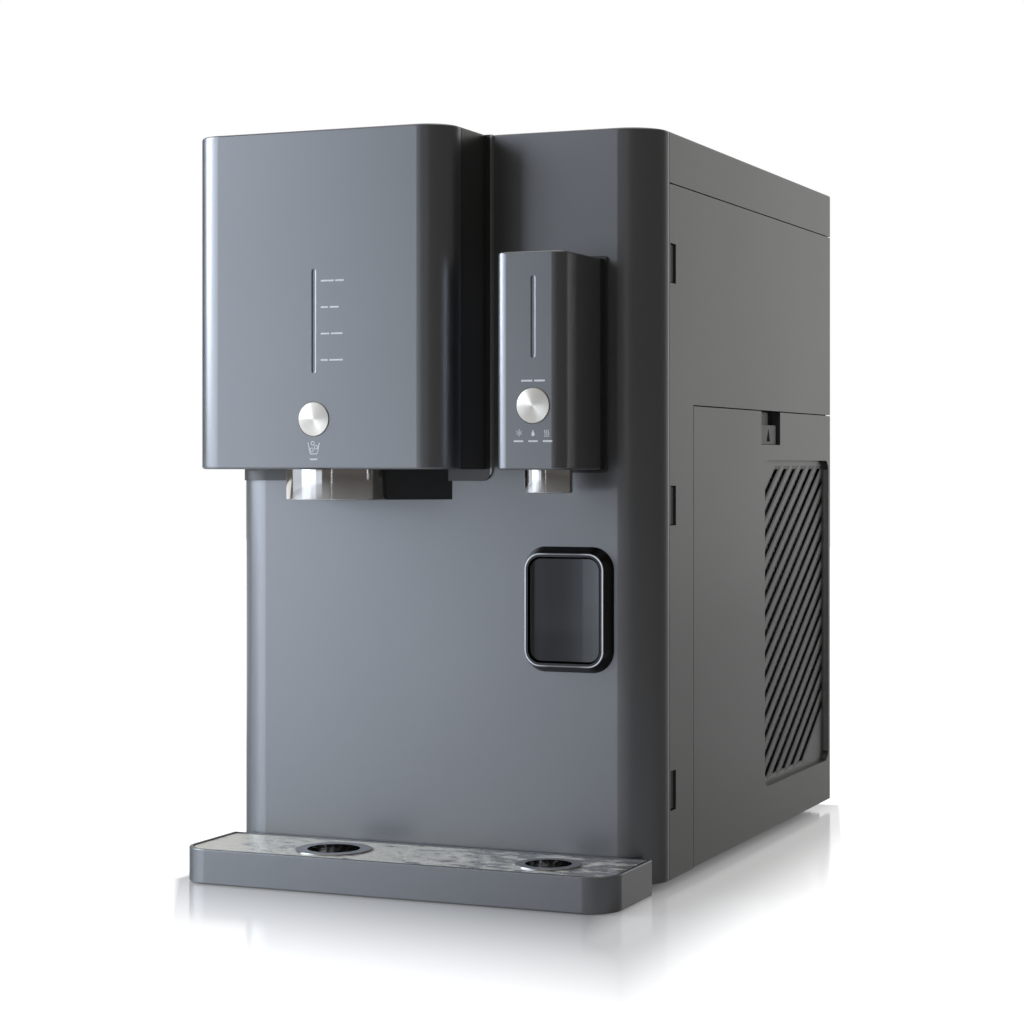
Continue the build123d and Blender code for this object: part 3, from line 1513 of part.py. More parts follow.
def condenser_fan():
    """Axial fan: hub with its shaft and pitched blades."""
    hub_x = (fan_x, fan_x + fan_width)
    fan = rod_x(fan_hub, hub_x, 0, 0)
    fan = fillet(fan.edges().group_by(Axis.X)[-1], edge_radius)
    fan += rod_x(fan_shaft, (motor_x + fan_motor_length / 2 + pin_fit, hub_x[0]), 0, 0)
    middle = fan_x + fan_width / 2
    limit = rod_x(fan_radius, hub_x, 0, 0)
    for step in range(fan_blades):
        blade = block(around(0, fan_blade_wall), around(0, 2 * fan_width), (fan_hub / 2, fan_radius * 2))
        blade = Pos(middle, 0, 0) * Rot(Z=90 - fan_blade_angle) * blade
        fan += Rot(X=step * 360 / fan_blades) * (blade & limit)
    return Pos(0, fan_y, fan_z) * fan


def refrigerant_lines():
    """Suction and discharge pipes between the compressor, evaporator and condenser."""
    low, high = compressor_ports()
    stub_top = compressor_high
    plate_z = (evaporator_low + evaporator_high) / 2
    suction = bent_pipe([(low, maker_y + evaporator_depth / 2, plate_z), (low, compressor_y, plate_z),
                         (low, compressor_y, stub_top)], pipe_radius, pipe_bend)
    over_z = condenser_high + 2 * pipe_bend
    run_end = condenser_inlet_y()
    discharge = bent_pipe([(high, compressor_y, stub_top), (high, compressor_y, over_z),
                           (high, run_end, over_z), (condenser_x, run_end, over_z),
                           (condenser_x, run_end, condenser_high)], pipe_radius, pipe_bend)
    return Compound([suction, discharge])


def evaporator():
    """Cold plate of the ice maker, with the fingers that the ice grows on."""
    plate = block(around(evaporator_x, evaporator_length), around(maker_y, evaporator_depth),
                  (evaporator_low, evaporator_high))
    for column in range(finger_columns):
        for row in range(finger_rows):
            x = evaporator_x + evaporator_length * ((column + 1 / 2) / finger_columns - 1 / 2)
            y = maker_y + evaporator_depth * ((row + 1 / 2) / finger_rows - 1 / 2)
            finger = rod_z(finger_radius, (finger_tip, evaporator_low), x, y)
            plate += fillet(finger.edges().group_by(Axis.Z)[0], finger_radius / 2)
    return plate


def tray_ends():
    """X places of the two ends of the ice tray."""
    return around(evaporator_x, ice_tray_length)


def ice_maker_frame():
    """Two cheeks on rails across the bin, which hold the cold plate and the tray's pins."""
    low, high = tray_ends()
    inner = (low - ice_tray_gap, high + ice_tray_gap)
    cheek_y = around(maker_y, cheek_depth)
    hinge = ice_tray_hinge()
    frame = Part()
    cheeks = ((inner[0] - cheek_wall, inner[0]), (inner[1], inner[1] + cheek_wall))
    rails = ((inner[0] - rail_width, inner[0]), (inner[1], inner[1] + rail_width))
    for cheek_x, rail_x in zip(cheeks, rails):
        frame += block(cheek_x, cheek_y, (bin_top, evaporator_high + sheet_wall))
        frame += block(rail_x, (bin_front, bin_back), (bin_top, bin_top + rail_height))
        pin = (cheek_x[0] - overrun, cheek_x[1] + overrun)
        frame -= rod_x(ice_tray_pin + pin_fit, pin, *hinge)
    bridge_y = around(maker_y, evaporator_depth)
    frame += block((cheeks[0][0], cheeks[1][1]), bridge_y,
                   (evaporator_high, evaporator_high + sheet_wall))
    return frame


def ice_tray_hinge():
    """Y and Z of the tray's hinge, at its upper rear edge."""
    return (maker_y + ice_tray_depth / 2 - ice_tray_pin, ice_tray_top - ice_tray_pin)


def ice_tray():
    """Tipping water tray with its hinge pins."""
    y_span = around(maker_y, ice_tray_depth)
    z_span = (ice_tray_top - ice_tray_height, ice_tray_top)
    tray = block(tray_ends(), y_span, z_span)
    bottom = tray.edges().filter_by(Axis.X).group_by(Axis.Z)[0]
    tray = fillet(bottom, ice_tray_round)
    low, high = tray_ends()
    hollow = block((low + ice_tray_wall, high - ice_tray_wall),
                   (y_span[0] + ice_tray_wall, y_span[1] - ice_tray_wall),
                   (z_span[0] + ice_tray_wall, z_span[1] + overrun))
    hollow = fillet(hollow.edges().filter_by(Axis.X).group_by(Axis.Z)[0], ice_tray_round - ice_tray_wall)
    tray -= hollow
    hinge = ice_tray_hinge()
    reach = ice_tray_gap + cheek_wall - slide_fit
    tray += rod_x(ice_tray_pin, (low - reach, low + ice_tray_wall), *hinge)
    return tray + rod_x(ice_tray_pin, (high - ice_tray_wall, high + reach), *hinge)


def ice_tray_motor():
    """Gear motor that tips the tray, on the outside of the right cheek."""
    start = tray_ends()[1] + ice_tray_gap + cheek_wall
    hinge_y = ice_tray_hinge()[0]
    body = block((start, start + tray_motor_length), around(hinge_y, tray_motor_size),
                 (bin_top + rail_height, bin_top + rail_height + tray_motor_size))
    return fillet(body.edges().filter_by(Axis.X), edge_radius)


def bin_outline(inset):
    """Cross section of the bin, seen from the front: hopper above a round trough."""
    trough = auger_radius + auger_clear + bin_wall - inset
    left = bin_left + inset
    right = bin_right - inset
    hopper = Polygon((left, bin_top), (left, bin_waist), (ice_x - trough, auger_z),
                     (ice_x + trough, auger_z), (right, bin_waist), (right, bin_top), align=None)
    return hopper + Pos(ice_x, auger_z) * Circle(trough)


def ice_bin():
    """Ice bin: hopper with a trough for the auger, spout to the port and two feet."""
    box = facing_front(bin_outline(0), (bin_front, bin_back), 0, 0)
    spout = auger_radius + auger_clear + spout_wall
    box += rod_y(spout, (body_wall, bin_front), ice_x, auger_z)
    foot_z = (deck_z + sheet_wall, auger_z - auger_radius)
    for y_span in ((bin_front, bin_front + bin_foot_width), (bin_back - bin_foot_width, bin_back)):
        box += block(around(ice_x, 2 * spout), y_span, foot_z)
    inside = facing_front(bin_outline(bin_wall), (bin_front + bin_wall, bin_back - bin_wall), 0, 0)
    box -= inside
    box -= block((bin_left + bin_wall, bin_right - bin_wall),
                 (bin_front + bin_wall, bin_back - bin_wall), (bin_waist, bin_top + overrun))
    box -= rod_y(spout - spout_wall, (body_wall - overrun, bin_front + 2 * bin_wall), ice_x, auger_z)
    return box - rod_y(auger_bush + pin_fit, (bin_back - 2 * bin_wall, bin_back + overrun),
                       ice_x, auger_z)


def auger():
    """Auger: shaft with pitched vanes set in a spiral, and its rear bush."""
    start = body_wall + seam_gap
    shaft = rod_y(auger_shaft, (start, bin_back + auger_motor_length / 2), 0, 0)
    shaft += rod_y(auger_bush, (bin_back - 2 * bin_wall, bin_back - seam_gap), 0, 0)
    room = bin_back - auger_tail - (start + auger_radius / 2)
    for step in range(auger_vanes):
        y = start + auger_radius / 2 + room * step / (auger_vanes - 1)
        vane = block(around(0, auger_radius), around(0, auger_vane_wall), (0, auger_radius * 2))
        vane = Rot(Z=auger_vane_pitch) * vane
        vane = vane & rod_y(auger_radius, (-auger_radius, auger_radius), 0, 0)
        shaft += Pos(0, y, 0) * Rot(Y=step * auger_vane_turn) * vane
    return Pos(ice_x, 0, auger_z) * shaft


def auger_motor():
    """Gear motor of the auger, on the back of the bin."""
    y_span = (bin_back, bin_back + auger_motor_length)
    box = block(around(ice_x, auger_motor_size), y_span, around(auger_z, auger_motor_size))
    box = fillet(box.edges().filter_by(Axis.Y), edge_radius)
    box -= rod_y(auger_bush + pin_fit, (bin_back - overrun, bin_back + seam_gap), ice_x, auger_z)
    return box - rod_y(auger_shaft + pin_fit, (bin_back - overrun, y_span[1] - overrun),
                       ice_x, auger_z)


def control_board():
    """Main circuit board on the upright bracket, with its larger components."""
    start = deck_right
    x_span = (start + control_gap, start + control_gap + board_wall)
    board = block(x_span, (control_from, control_to), (control_low, control_high))
    room_y = control_to - control_from
    room_z = control_high - control_low
    for share_y in board_post_shares:
        for share_z in board_post_shares:
            board += rod_x(post_radius, (start, x_span[0]), control_from + share_y * room_y,
                           control_low + share_z * room_z)
    part_shares = ((0.2, 0.3, 0.2, 0.25, 0.2), (0.55, 0.28, 0.22, 0.2, 0.16),
                   (0.3, 0.72, 0.24, 0.16, 0.08), (0.75, 0.7, 0.16, 0.28, 0.12))
    for y_share, z_share, wide_share, high_share, deep_share in part_shares:
        board += block((x_span[1], x_span[1] + deep_share * room_y),
                       around(control_from + y_share * room_y, wide_share * room_y),
                       around(control_low + z_share * room_z, high_share * room_z))
    return board


def water_valves():
    """Pair of solenoid valves under the deck."""
    x_span = (valve_x, valve_x + valve_depth)
    body = block(x_span, around(valve_y, valve_length), (deck_z - valve_height, deck_z))
    for side in (-1, 1):
        body += rod_z(coil_radius, (deck_z - valve_height - coil_length, deck_z - valve_height),
                      valve_x + valve_depth / 2, valve_y + side * coil_spread)
    return body


def water_tubes():
    """Inlet hose to the valves, and the hose from the cold tank to the nozzle."""
    start_y = rear_face - pocket_depth - pocket_sheet - fitting_stop
    inlet = bent_pipe([(-inlet_x, start_y, inlet_z), (-inlet_x, valve_y, inlet_z),
                       (-inlet_x, valve_y, hose_way_z),
                       (valve_x, valve_y, hose_way_z)], tube_radius, hose_bend, tube_bore)
    tank_top = cold_high + foam_wall + tank_port_height
    way = hose_way_z
    cold = bent_pipe([(cold_port_x(), cold_y, tank_top), (cold_port_x(), cold_y, way),
                      (cold_port_x(), hose_way_y, way), (water_head_centre, hose_way_y, way),
                      (water_head_centre, hose_way_y, hose_port_z),
                      (water_head_centre, -nozzle_y, hose_port_z),
                      (water_head_centre, -nozzle_y, nozzle_barb_top)], tube_radius, hose_bend, tube_bore)
    return Compound([inlet, cold])


pieces = {
    "base_pan": base_pan,
    "rubber_feet": rubber_feet,
    "front_cover": front_cover,
    "left_side_panel": left_side_panel,
    "right_side_panel": right_side_panel,
    "service_cover": service_cover,
    "service_latch": service_latch,
    "top_cover": top_cover,
    "rear_panel": rear_panel,
    "rear_screws": rear_screws,
    "water_inlet_fitting": water_inlet_fitting,
    "drain_fitting": drain_fitting,
    "power_inlet": power_inlet,
    "ice_head_shell": ice_head_shell,
    "ice_head_housing": ice_head_housing,
    "ice_light_guide": lambda: light_guide(ice_control_x, ice_head_reach,
                                           (ice_guide_low, ice_guide_high)),
    "ice_button": lambda: control_button(ice_control_x, ice_head_reach, ice_button_z),
    "ice_button_board": lambda: switch_board(ice_control_x, ice_head_reach, ice_button_z,
                                             ice_guide_low, ice_guide_high),
    "ice_outlet_ring": ice_outlet_ring,
    "ice_chute": ice_chute,
    "ice_gate": ice_gate,
    "water_head_shell": water_head_shell,
    "water_head_housing": water_head_housing,
    "water_light_guide": lambda: light_guide(water_control_x, water_head_reach,
                                             (water_guide_low, water_guide_high)),
    "water_button": lambda: control_button(water_control_x, water_head_reach, water_button_z),
    "water_button_board": lambda: switch_board(water_control_x, water_head_reach, water_button_z,
                                               water_guide_low, water_guide_high),
    "nozzle_ring": nozzle_ring,
    "water_nozzle": water_nozzle,
    "paddle_bezel": paddle_bezel,
    "paddle_plate": paddle_plate,
    "paddle_spring": paddle_spring,
    "paddle_switch": paddle_switch,
    "tray_body": tray_body,
    "tray_deck": tray_deck,
    "ice_drain_ring": lambda: drain_ring(*drains()[0]),
    "water_drain_ring": lambda: drain_ring(*drains()[1]),
    "chassis_frame": chassis_frame,
    "filter_manifold": filter_manifold,
    "sediment_filter": lambda: filter_cartridge(filter_places[0]),
    "carbon_filter": lambda: filter_cartridge(filter_places[1]),
    "membrane_filter": lambda: filter_cartridge(filter_places[2]),
    "cold_tank": cold_tank,
    "cold_tank_insulation": cold_tank_insulation,
    "hot_tank": hot_tank,
    "compressor": compressor,
    "condenser": condenser,
    "fan_shroud": fan_shroud,
    "fan_motor": fan_motor,
    "condenser_fan": condenser_fan,
    "refrigerant_lines": refrigerant_lines,
    "evaporator": evaporator,
    "ice_maker_frame": ice_maker_frame,
    "ice_tray": ice_tray,
    "ice_tray_motor": ice_tray_motor,
    "ice_bin": ice_bin,
    "auger": auger,
    "auger_motor": auger_motor,
    "control_board": control_board,
    "water_valves": water_valves,
    "water_tubes": water_tubes,
}

os.makedirs("parts", exist_ok=True)
stand = Pos(0, (tray_reach - body_depth) / 2, foot_height)
for name, make in pieces.items():
    export_step(stand * make(), f"parts/{name}.step")
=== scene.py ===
import bmesh
import bpy
import math
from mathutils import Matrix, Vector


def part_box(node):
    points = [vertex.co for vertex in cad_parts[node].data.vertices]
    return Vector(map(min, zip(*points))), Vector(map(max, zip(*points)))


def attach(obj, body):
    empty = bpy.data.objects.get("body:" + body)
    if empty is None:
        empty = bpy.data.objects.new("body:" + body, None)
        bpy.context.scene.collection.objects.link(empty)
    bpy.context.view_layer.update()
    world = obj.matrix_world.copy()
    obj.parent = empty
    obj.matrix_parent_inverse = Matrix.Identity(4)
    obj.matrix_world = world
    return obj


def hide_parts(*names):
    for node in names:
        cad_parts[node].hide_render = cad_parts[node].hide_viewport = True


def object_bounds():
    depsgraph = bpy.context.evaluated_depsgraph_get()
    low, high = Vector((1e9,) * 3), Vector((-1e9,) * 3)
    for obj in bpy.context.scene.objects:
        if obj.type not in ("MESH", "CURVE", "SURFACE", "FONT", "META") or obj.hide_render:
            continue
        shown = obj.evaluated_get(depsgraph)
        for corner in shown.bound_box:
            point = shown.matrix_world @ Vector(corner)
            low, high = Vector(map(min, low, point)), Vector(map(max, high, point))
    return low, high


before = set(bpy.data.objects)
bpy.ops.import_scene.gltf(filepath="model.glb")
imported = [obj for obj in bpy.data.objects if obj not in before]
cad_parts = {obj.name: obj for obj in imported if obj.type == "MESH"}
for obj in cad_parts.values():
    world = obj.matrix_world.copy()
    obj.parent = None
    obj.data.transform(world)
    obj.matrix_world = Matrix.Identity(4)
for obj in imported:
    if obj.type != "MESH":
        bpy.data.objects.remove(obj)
cad_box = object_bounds()


# Front cover, head shells and drip tray: steel sheet bent round the upright corners, sprayed
# with a satin grey-blue metallic paint. Everything behind the side panels' front edge, the hooks
# of the cover's edges, is painted flat black: painted shade in the windows they show through.
class Socket:
    """One value of a material, so that shader maths reads as an expression."""

    def __init__(self, tree, plug=None):
        self.tree = tree
        self.plug = plug

    def node(self, kind, settings=None, inputs=None, output=0):
        """Adds a node: its type, its settings, then the values or links of its sockets."""
        made = self.tree.nodes.new(kind)
        for name, value in (settings or {}).items():
            setattr(made, name, value)
        for name, value in (inputs or {}).items():
            if isinstance(value, Socket):
                self.tree.links.new(made.inputs[name], value.plug)
            else:
                made.inputs[name].default_value = value
        return Socket(self.tree, made.outputs[output] if made.outputs else None)

    def __add__(self, other):
        return maths("ADD", self, other)

    def __radd__(self, other):
        return maths("ADD", other, self)

    def __sub__(self, other):
        return maths("SUBTRACT", self, other)

    def __rsub__(self, other):
        return maths("SUBTRACT", other, self)

    def __mul__(self, other):
        return maths("MULTIPLY", self, other)

    def __rmul__(self, other):
        return maths("MULTIPLY", other, self)

    def __gt__(self, other):
        return maths("GREATER_THAN", self, other)

    def __lt__(self, other):
        return maths("LESS_THAN", self, other)


def maths(operation, first, second=0.0):
    """Value worked out from one or two values, of which at least one is a socket."""
    socket = first if isinstance(first, Socket) else second
    return socket.node("ShaderNodeMath", {"operation": operation}, {0: first, 1: second})


def new_material(name):
    """An empty material, and the socket that its nodes start from."""
    material = bpy.data.materials.new(name)
    material.use_nodes = True
    material.node_tree.nodes.clear()
    return material, Socket(material.node_tree)


def place(start, axis):
    """One coordinate of a point of the object, in metres."""
    at = start.node("ShaderNodeTexCoord", output="Object")
    return at.node("ShaderNodeSeparateXYZ", inputs={0: at}, output=axis)


def noise(start, grain, stretch=(1, 1, 1), detail=3.0):
    """Cloudy value from 0 to 1, whose patches are about one grain wide."""
    at = start.node("ShaderNodeTexCoord", output="Object")
    at = at.node("ShaderNodeMapping", inputs={"Vector": at, "Scale": stretch})
    return at.node("ShaderNodeTexNoise",
                   inputs={"Vector": at, "Scale": 1 / grain, "Detail": detail}, output="Fac")


def mix(mask, first, second):
    """Colour between two colours."""
    return mask.node("ShaderNodeMix", {"data_type": "RGBA"}, {0: mask, 6: first, 7: second}, 2)


def relief(height, depth, under=None):
    """Normal of a surface whose height is the first value times that depth."""
    inputs = {"Height": height, "Distance": depth}
    if under:
        inputs["Normal"] = under
    return height.node("ShaderNodeBump", inputs=inputs)


def beyond(start, low, high, corner):
    """How far a point lies outside a rounded rectangle, seen from the front."""
    over = []
    for axis, first, last in (("X", low.x, high.x), ("Z", low.z, high.z)):
        half = (last - first) / 2 - corner
        offset = maths("ABSOLUTE", place(start, axis) - (first + last) / 2)
        over.append(maths("MAXIMUM", offset - half))
    return maths("SQRT", over[0] * over[0] + over[1] * over[1]) - corner


def surface(start, sockets):
    """Ends a material with one shader."""
    shader = start.node("ShaderNodeBsdfPrincipled", inputs=sockets)
    start.node("ShaderNodeOutputMaterial", inputs={"Surface": shader})


def dress(material, *names):
    """Gives CAD pieces a material."""
    for name in names:
        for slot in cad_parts[name].material_slots:
            slot.material = material


def grey(level, warmth=0.0):
    """A grey, warmer or cooler."""
    return (level * (1 + warmth), level, level * (1 - warmth), 1)


def between(value, low, high):
    """1 where a value lies between two others, and 0 elsewhere."""
    return (value > low) * (value < high)


paint_dark = (0.222, 0.224, 0.228, 1)
paint_light = (0.250, 0.252, 0.257, 1)
paint_flake = 0.00012
paint_cloud = 0.09
flake_depth = 0.000004
slot_roll = 0.0007
slot_roll_depth = slot_roll * 0.32
guide_half = 0.003
guide_flange = 0.002
# Flat black painted on the hooks behind the side panels' front edge: painted shade.
hook_shade_black = (0.010, 0.010, 0.011, 1)
hooks_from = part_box("right_side_panel")[0].y - 0.0004

face_paint, start = new_material("face_paint")
cloud = noise(start, paint_cloud)
flake = noise(start, paint_flake, detail=1.0)
tone = mix(cloud * 0.6 + flake * 0.4, paint_dark, paint_light)
shaded_hooks = place(start, "Y") > hooks_from
past_ice_guide = beyond(start, *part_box("ice_light_guide"), guide_half)
past_water_guide = beyond(start, *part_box("water_light_guide"), guide_half)
past_slot = maths("MINIMUM", past_ice_guide, past_water_guide) + guide_flange
slot_edge = maths("MINIMUM", past_slot * (1 / slot_roll), 1.0)
surface(start, {
    "Base Color": mix(shaded_hooks, tone, hook_shade_black),
    "Metallic": 0.92 - shaded_hooks * 0.92,
    "Roughness": 0.30 + cloud * 0.03 + flake * 0.03 + shaded_hooks * 0.15,
    "Normal": relief(slot_edge, slot_roll_depth, relief(flake, flake_depth)),
})
dress(face_paint, "front_cover", "ice_head_shell", "water_head_shell", "tray_body")


# Side panels, lid, service cover and the rear parts of both heads: moulded and sprayed a darker
# neutral grey, with a fine texture that scatters the light a little more than the fronts. The ribs
# between the service cover's air slots are rounded, and their colour is darkened towards the slots
# as painted shade. The rear wall of the cover's recess is painted pale, as a painted highlight.
def ramp(value, low, high, first=0.0, last=1.0, kind="SMOOTHSTEP"):
    """Value that runs from first to last between two places, and stays level past them."""
    inputs = {"Value": value, "From Min": low, "From Max": high, "To Min": first, "To Max": last}
    return value.node("ShaderNodeMapRange", {"interpolation_type": kind}, inputs)


side_dark = grey(0.150, 0.01)
side_light = grey(0.176, 0.01)
side_cloud = 0.12
side_texture = 0.00035
side_texture_depth = 0.000012
cover_low, cover_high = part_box("service_cover")
recess_floor = (cover_high.x - 0.0070, cover_high.x - 0.0035)
recess_wall_x = (cover_high.x - 0.0050, cover_high.x - 0.0003)
recess_wall_y = (cover_high.y - 0.0052, cover_high.y - 0.0046)
# Pale colour painted on the rear wall of the cover's recess: a painted highlight.
recess_painted_highlight = grey(0.60, 0.01)
slot_count = 19
slot_pitch = 0.015
slot_turn = math.radians(32)
slot_half = 0.0024
first_slot_z = cover_high.z - 0.0657
slots_y = (cover_high.y - 0.1775, cover_high.y - 0.0115)
slots_z = (cover_low.z + 0.0387, cover_high.z - 0.0427)
rib_round = 0.0034
rib_depth = 0.0005
# Dark colour painted on the ribs beside each slot, darkest at the slot's edge: painted shade.
rib_painted_shade = grey(0.06, 0.01)

side_paint, start = new_material("side_paint")
cloud = noise(start, side_cloud)
texture = noise(start, side_texture, detail=2.0)
across = place(start, "X")
along = place(start, "Y")
upward = place(start, "Z")
recess_wall = between(across, *recess_wall_x) * between(along, *recess_wall_y) * (upward < cover_high.z)
rise = (along - slots_y[0]) * (math.tan(slot_turn) / slot_pitch)
steps = (upward - first_slot_z) * (1 / slot_pitch) - rise
nearest = maths("MAXIMUM", maths("MINIMUM", maths("ROUND", steps), 0.0), 1.0 - slot_count)
off_slot = maths("ABSOLUTE", steps - nearest) * (slot_pitch * math.cos(slot_turn)) - slot_half
past_sides = maths("MAXIMUM", slots_y[0] - along, along - slots_y[1])
past_ends = maths("MAXIMUM", slots_z[0] - upward, upward - slots_z[1])
off_slot = maths("MAXIMUM", off_slot, maths("MAXIMUM", past_sides, past_ends))
rib = maths("MAXIMUM", ramp(off_slot, 0.0, rib_round), 1.0 - between(across, *recess_floor))
painted = mix(cloud * 0.7 + texture * 0.3, side_dark, side_light)
surface(start, {
    "Base Color": mix(recess_wall, mix(rib, rib_painted_shade, painted), recess_painted_highlight),
    "Metallic": 0.75,
    "Roughness": 0.36 + cloud * 0.04 + texture * 0.03,
    "Normal": relief(rib, rib_depth, relief(texture, side_texture_depth)),
})
dress(side_paint, "left_side_panel", "right_side_panel", "top_cover", "service_cover")

housing_dark = grey(0.085, 0.03)
housing_light = grey(0.100, 0.03)
housing_cloud = 0.06
housing_texture_depth = 0.000008
# A thin band along the right edge of the ice head's lip is painted pale: a painted highlight.
lip_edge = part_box("ice_head_housing")[1].x
lip_wide = 0.0012
lip_slack = 0.0004
lip_painted_highlight = grey(0.45, 0.03)

housing_paint, start = new_material("housing_paint")
cloud = noise(start, housing_cloud)
texture = noise(start, side_texture, detail=2.0)
lip_highlight_band = between(place(start, "X"), lip_edge - lip_wide, lip_edge + lip_slack)
painted = mix(cloud * 0.7 + texture * 0.3, housing_dark, housing_light)
surface(start, {
    "Base Color": mix(lip_highlight_band, painted, lip_painted_highlight),
    "Metallic": 0.8,
    "Roughness": 0.33 + cloud * 0.04,
    "Normal": relief(texture, housing_texture_depth),
})
dress(housing_paint, "ice_head_housing", "water_head_housing")


# Buttons: caps turned from aluminium. The lathe leaves fine rings on the flat face, which
# spread the light of the left window into bright fans, and a bevel runs round the edge.
def lathe(name, profile, turns=1.0, steps=96):
    """Mesh turned round its own Z axis, from the radius and height of a closed outline."""
    made = bmesh.new()
    count = steps if turns == 1 else steps + 1
    rings = []
    for step in range(count):
        turn = 2 * math.pi * turns * step / steps
        rings.append([made.verts.new((radius * math.cos(turn), radius * math.sin(turn), height))
                      for radius, height in profile])
    for step in range(steps):
        near = rings[step]
        far = rings[(step + 1) % count]
        for corner in range(len(profile)):
            following = (corner + 1) % len(profile)
            if profile[corner][0] > 0 or profile[following][0] > 0:
                made.faces.new((near[corner], near[following], far[following], far[corner]))
    if turns < 1:
        made.faces.new(rings[0])
        made.faces.new(rings[-1])
    bmesh.ops.remove_doubles(made, verts=made.verts, dist=0.0000001)
    bmesh.ops.recalc_face_normals(made, faces=made.faces)
    piece = to_object(name, made, smooth=True)
    piece.data.set_sharp_from_angle(angle=math.radians(30))
    return piece


def to_object(name, made, smooth=False):
    """Turns finished mesh data into an object of the scene."""
    mesh = bpy.data.meshes.new(name)
    made.to_mesh(mesh)
    made.free()
    mesh.polygons.foreach_set("use_smooth", [smooth] * len(mesh.polygons))
    piece = bpy.data.objects.new(name, mesh)
    bpy.context.scene.collection.objects.link(piece)
    return piece


button_bevel = 0.0005
button_flange = 0.0016
button_cap = 0.0034
button_tall = 0.0046
ring_pitch = 0.00022
ring_depth = 0.000012
aluminium_dark = (0.94, 0.87, 0.78, 1)
aluminium_light = (1.0, 0.95, 0.86, 1)

turned_aluminium, start = new_material("turned_aluminium")
across = place(start, "X")
upward = place(start, "Y")
radius = maths("SQRT", across * across + upward * upward)
rings = radius.node("ShaderNodeTexNoise", {"noise_dimensions": "1D"},
                    {"W": radius * (1 / ring_pitch), "Scale": 1.0, "Detail": 1.0}, "Fac")
surface(start, {
    "Base Color": mix(rings, aluminium_dark, aluminium_light),
    "Metallic": 1.0,
    "Roughness": 0.46 + rings * 0.06,
    "Anisotropic": 0.9,
    "Anisotropic Rotation": 0.25,
    "Normal": relief(rings, ring_depth),
})


def turned_button(node):
    """Button of the same outside as its CAD piece, whose own axis is that of the lathe."""
    low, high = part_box(node)
    rim = (high.x - low.x) / 2
    radius = rim - button_flange
    profile = [(0, 0), (radius - button_bevel, 0), (radius - button_bevel / 4, -button_bevel / 4),
               (radius, -button_bevel), (radius, -button_cap), (rim, -button_cap),
               (rim, -button_tall), (0, -button_tall)]
    piece = lathe(node + "_turned", profile)
    piece.location = ((low.x + high.x) / 2, low.y, (low.z + high.z) / 2)
    piece.rotation_euler = (math.radians(90), 0, 0)
    piece.data.materials.append(turned_aluminium)
    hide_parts(node)
    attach(piece, node)


turned_button("ice_button")
turned_button("water_button")


# Light guides: clear bars pressed into the slots of the heads and sunk a little. They are
# unlit, so that they show the grey of the face between a dark and a light edge.
guide_dark = (0.24, 0.26, 0.29, 1)
guide_light = (0.30, 0.32, 0.35, 1)
guide_grain = 0.0008
guide_grain_depth = 0.000002

guide_plastic, start = new_material("guide_plastic")
fine = noise(start, guide_grain, detail=2.0)
surface(start, {
    "Base Color": mix(fine, guide_dark, guide_light),
    "Roughness": 0.22 + fine * 0.06,
    "Coat Weight": 0.5,
    "Normal": relief(fine, guide_grain_depth),
})
dress(guide_plastic, "ice_light_guide", "water_light_guide")


# Printed marks beside the slots and buttons: a thin layer of pale ink that stands just proud
# of the paint. They are plain signs of a drop, steam, a snowflake and a cup of ice, and short
# bars where the words would be.
ink_height = 0.00005
ink_width = 0.00062
thin_ink = ink_width * 0.7
ink_grain = 0.0002
ink_grain_depth = 0.000002
bar_height = 0.0011
bar_gap = 0.0012

pale_ink, start = new_material("pale_ink")
fine = noise(start, ink_grain, detail=1.0)
surface(start, {
    "Base Color": mix(fine, grey(0.80), grey(0.90)),
    "Roughness": 0.5 + fine * 0.1,
    "Normal": relief(fine, ink_grain_depth),
})


def stroke(made, points, face_y, closed=False, width=ink_width):
    """Adds one printed line through points on a face that looks to -Y."""
    count = len(points)
    sides = []
    for step, (x, z) in enumerate(points):
        before = points[step - 1] if step > 0 or closed else points[step]
        after = points[(step + 1) % count] if step < count - 1 or closed else points[step]
        along = math.atan2(after[1] - before[1], after[0] - before[0])
        across = (-math.sin(along) * width / 2, math.cos(along) * width / 2)
        pair = []
        for side in (-1, 1):
            for y in (face_y - ink_height, face_y):
                pair.append(made.verts.new((x + side * across[0], y, z + side * across[1])))
        sides.append(pair)
    last = count if closed else count - 1
    for step in range(last):
        first = sides[step]
        second = sides[(step + 1) % count]
        made.faces.new((first[0], second[0], second[2], first[2]))
        made.faces.new((first[1], second[1], second[0], first[0]))
        made.faces.new((first[2], second[2], second[3], first[3]))
    bmesh.ops.recalc_face_normals(made, faces=made.faces)


def circle(centre, radius, steps, start_turn=0.0, turns=1.0):
    """Points round a circle, or round part of it."""
    points = []
    for step in range(steps):
        turn = 2 * math.pi * (start_turn + turns * step / steps)
        points.append((centre[0] + radius * math.cos(turn), centre[1] + radius * math.sin(turn)))
    return points


def drop_sign(made, centre, size, face_y):
    """Drop of water, filled in."""
    radius = size * 0.26
    low = (centre[0], centre[1] - size * 0.2)
    outline = circle(low, radius, 17, -0.57, 0.68) + [(centre[0], centre[1] + size / 2)]
    made.faces.new([made.verts.new((x, face_y - ink_height, z)) for x, z in outline])


def snow_sign(made, centre, size, face_y):
    """Snowflake: three lines crossed, with barbs at their ends."""
    for step in range(6):
        turn = math.pi * step / 3
        tip = (centre[0] + size / 2 * math.sin(turn), centre[1] + size / 2 * math.cos(turn))
        stroke(made, [centre, tip], face_y)
        for side in (-1, 1):
            root = (centre[0] + size * 0.28 * math.sin(turn), centre[1] + size * 0.28 * math.cos(turn))
            barb = (root[0] + size * 0.16 * math.sin(turn + side * 0.8),
                    root[1] + size * 0.16 * math.cos(turn + side * 0.8))
            stroke(made, [root, barb], face_y)


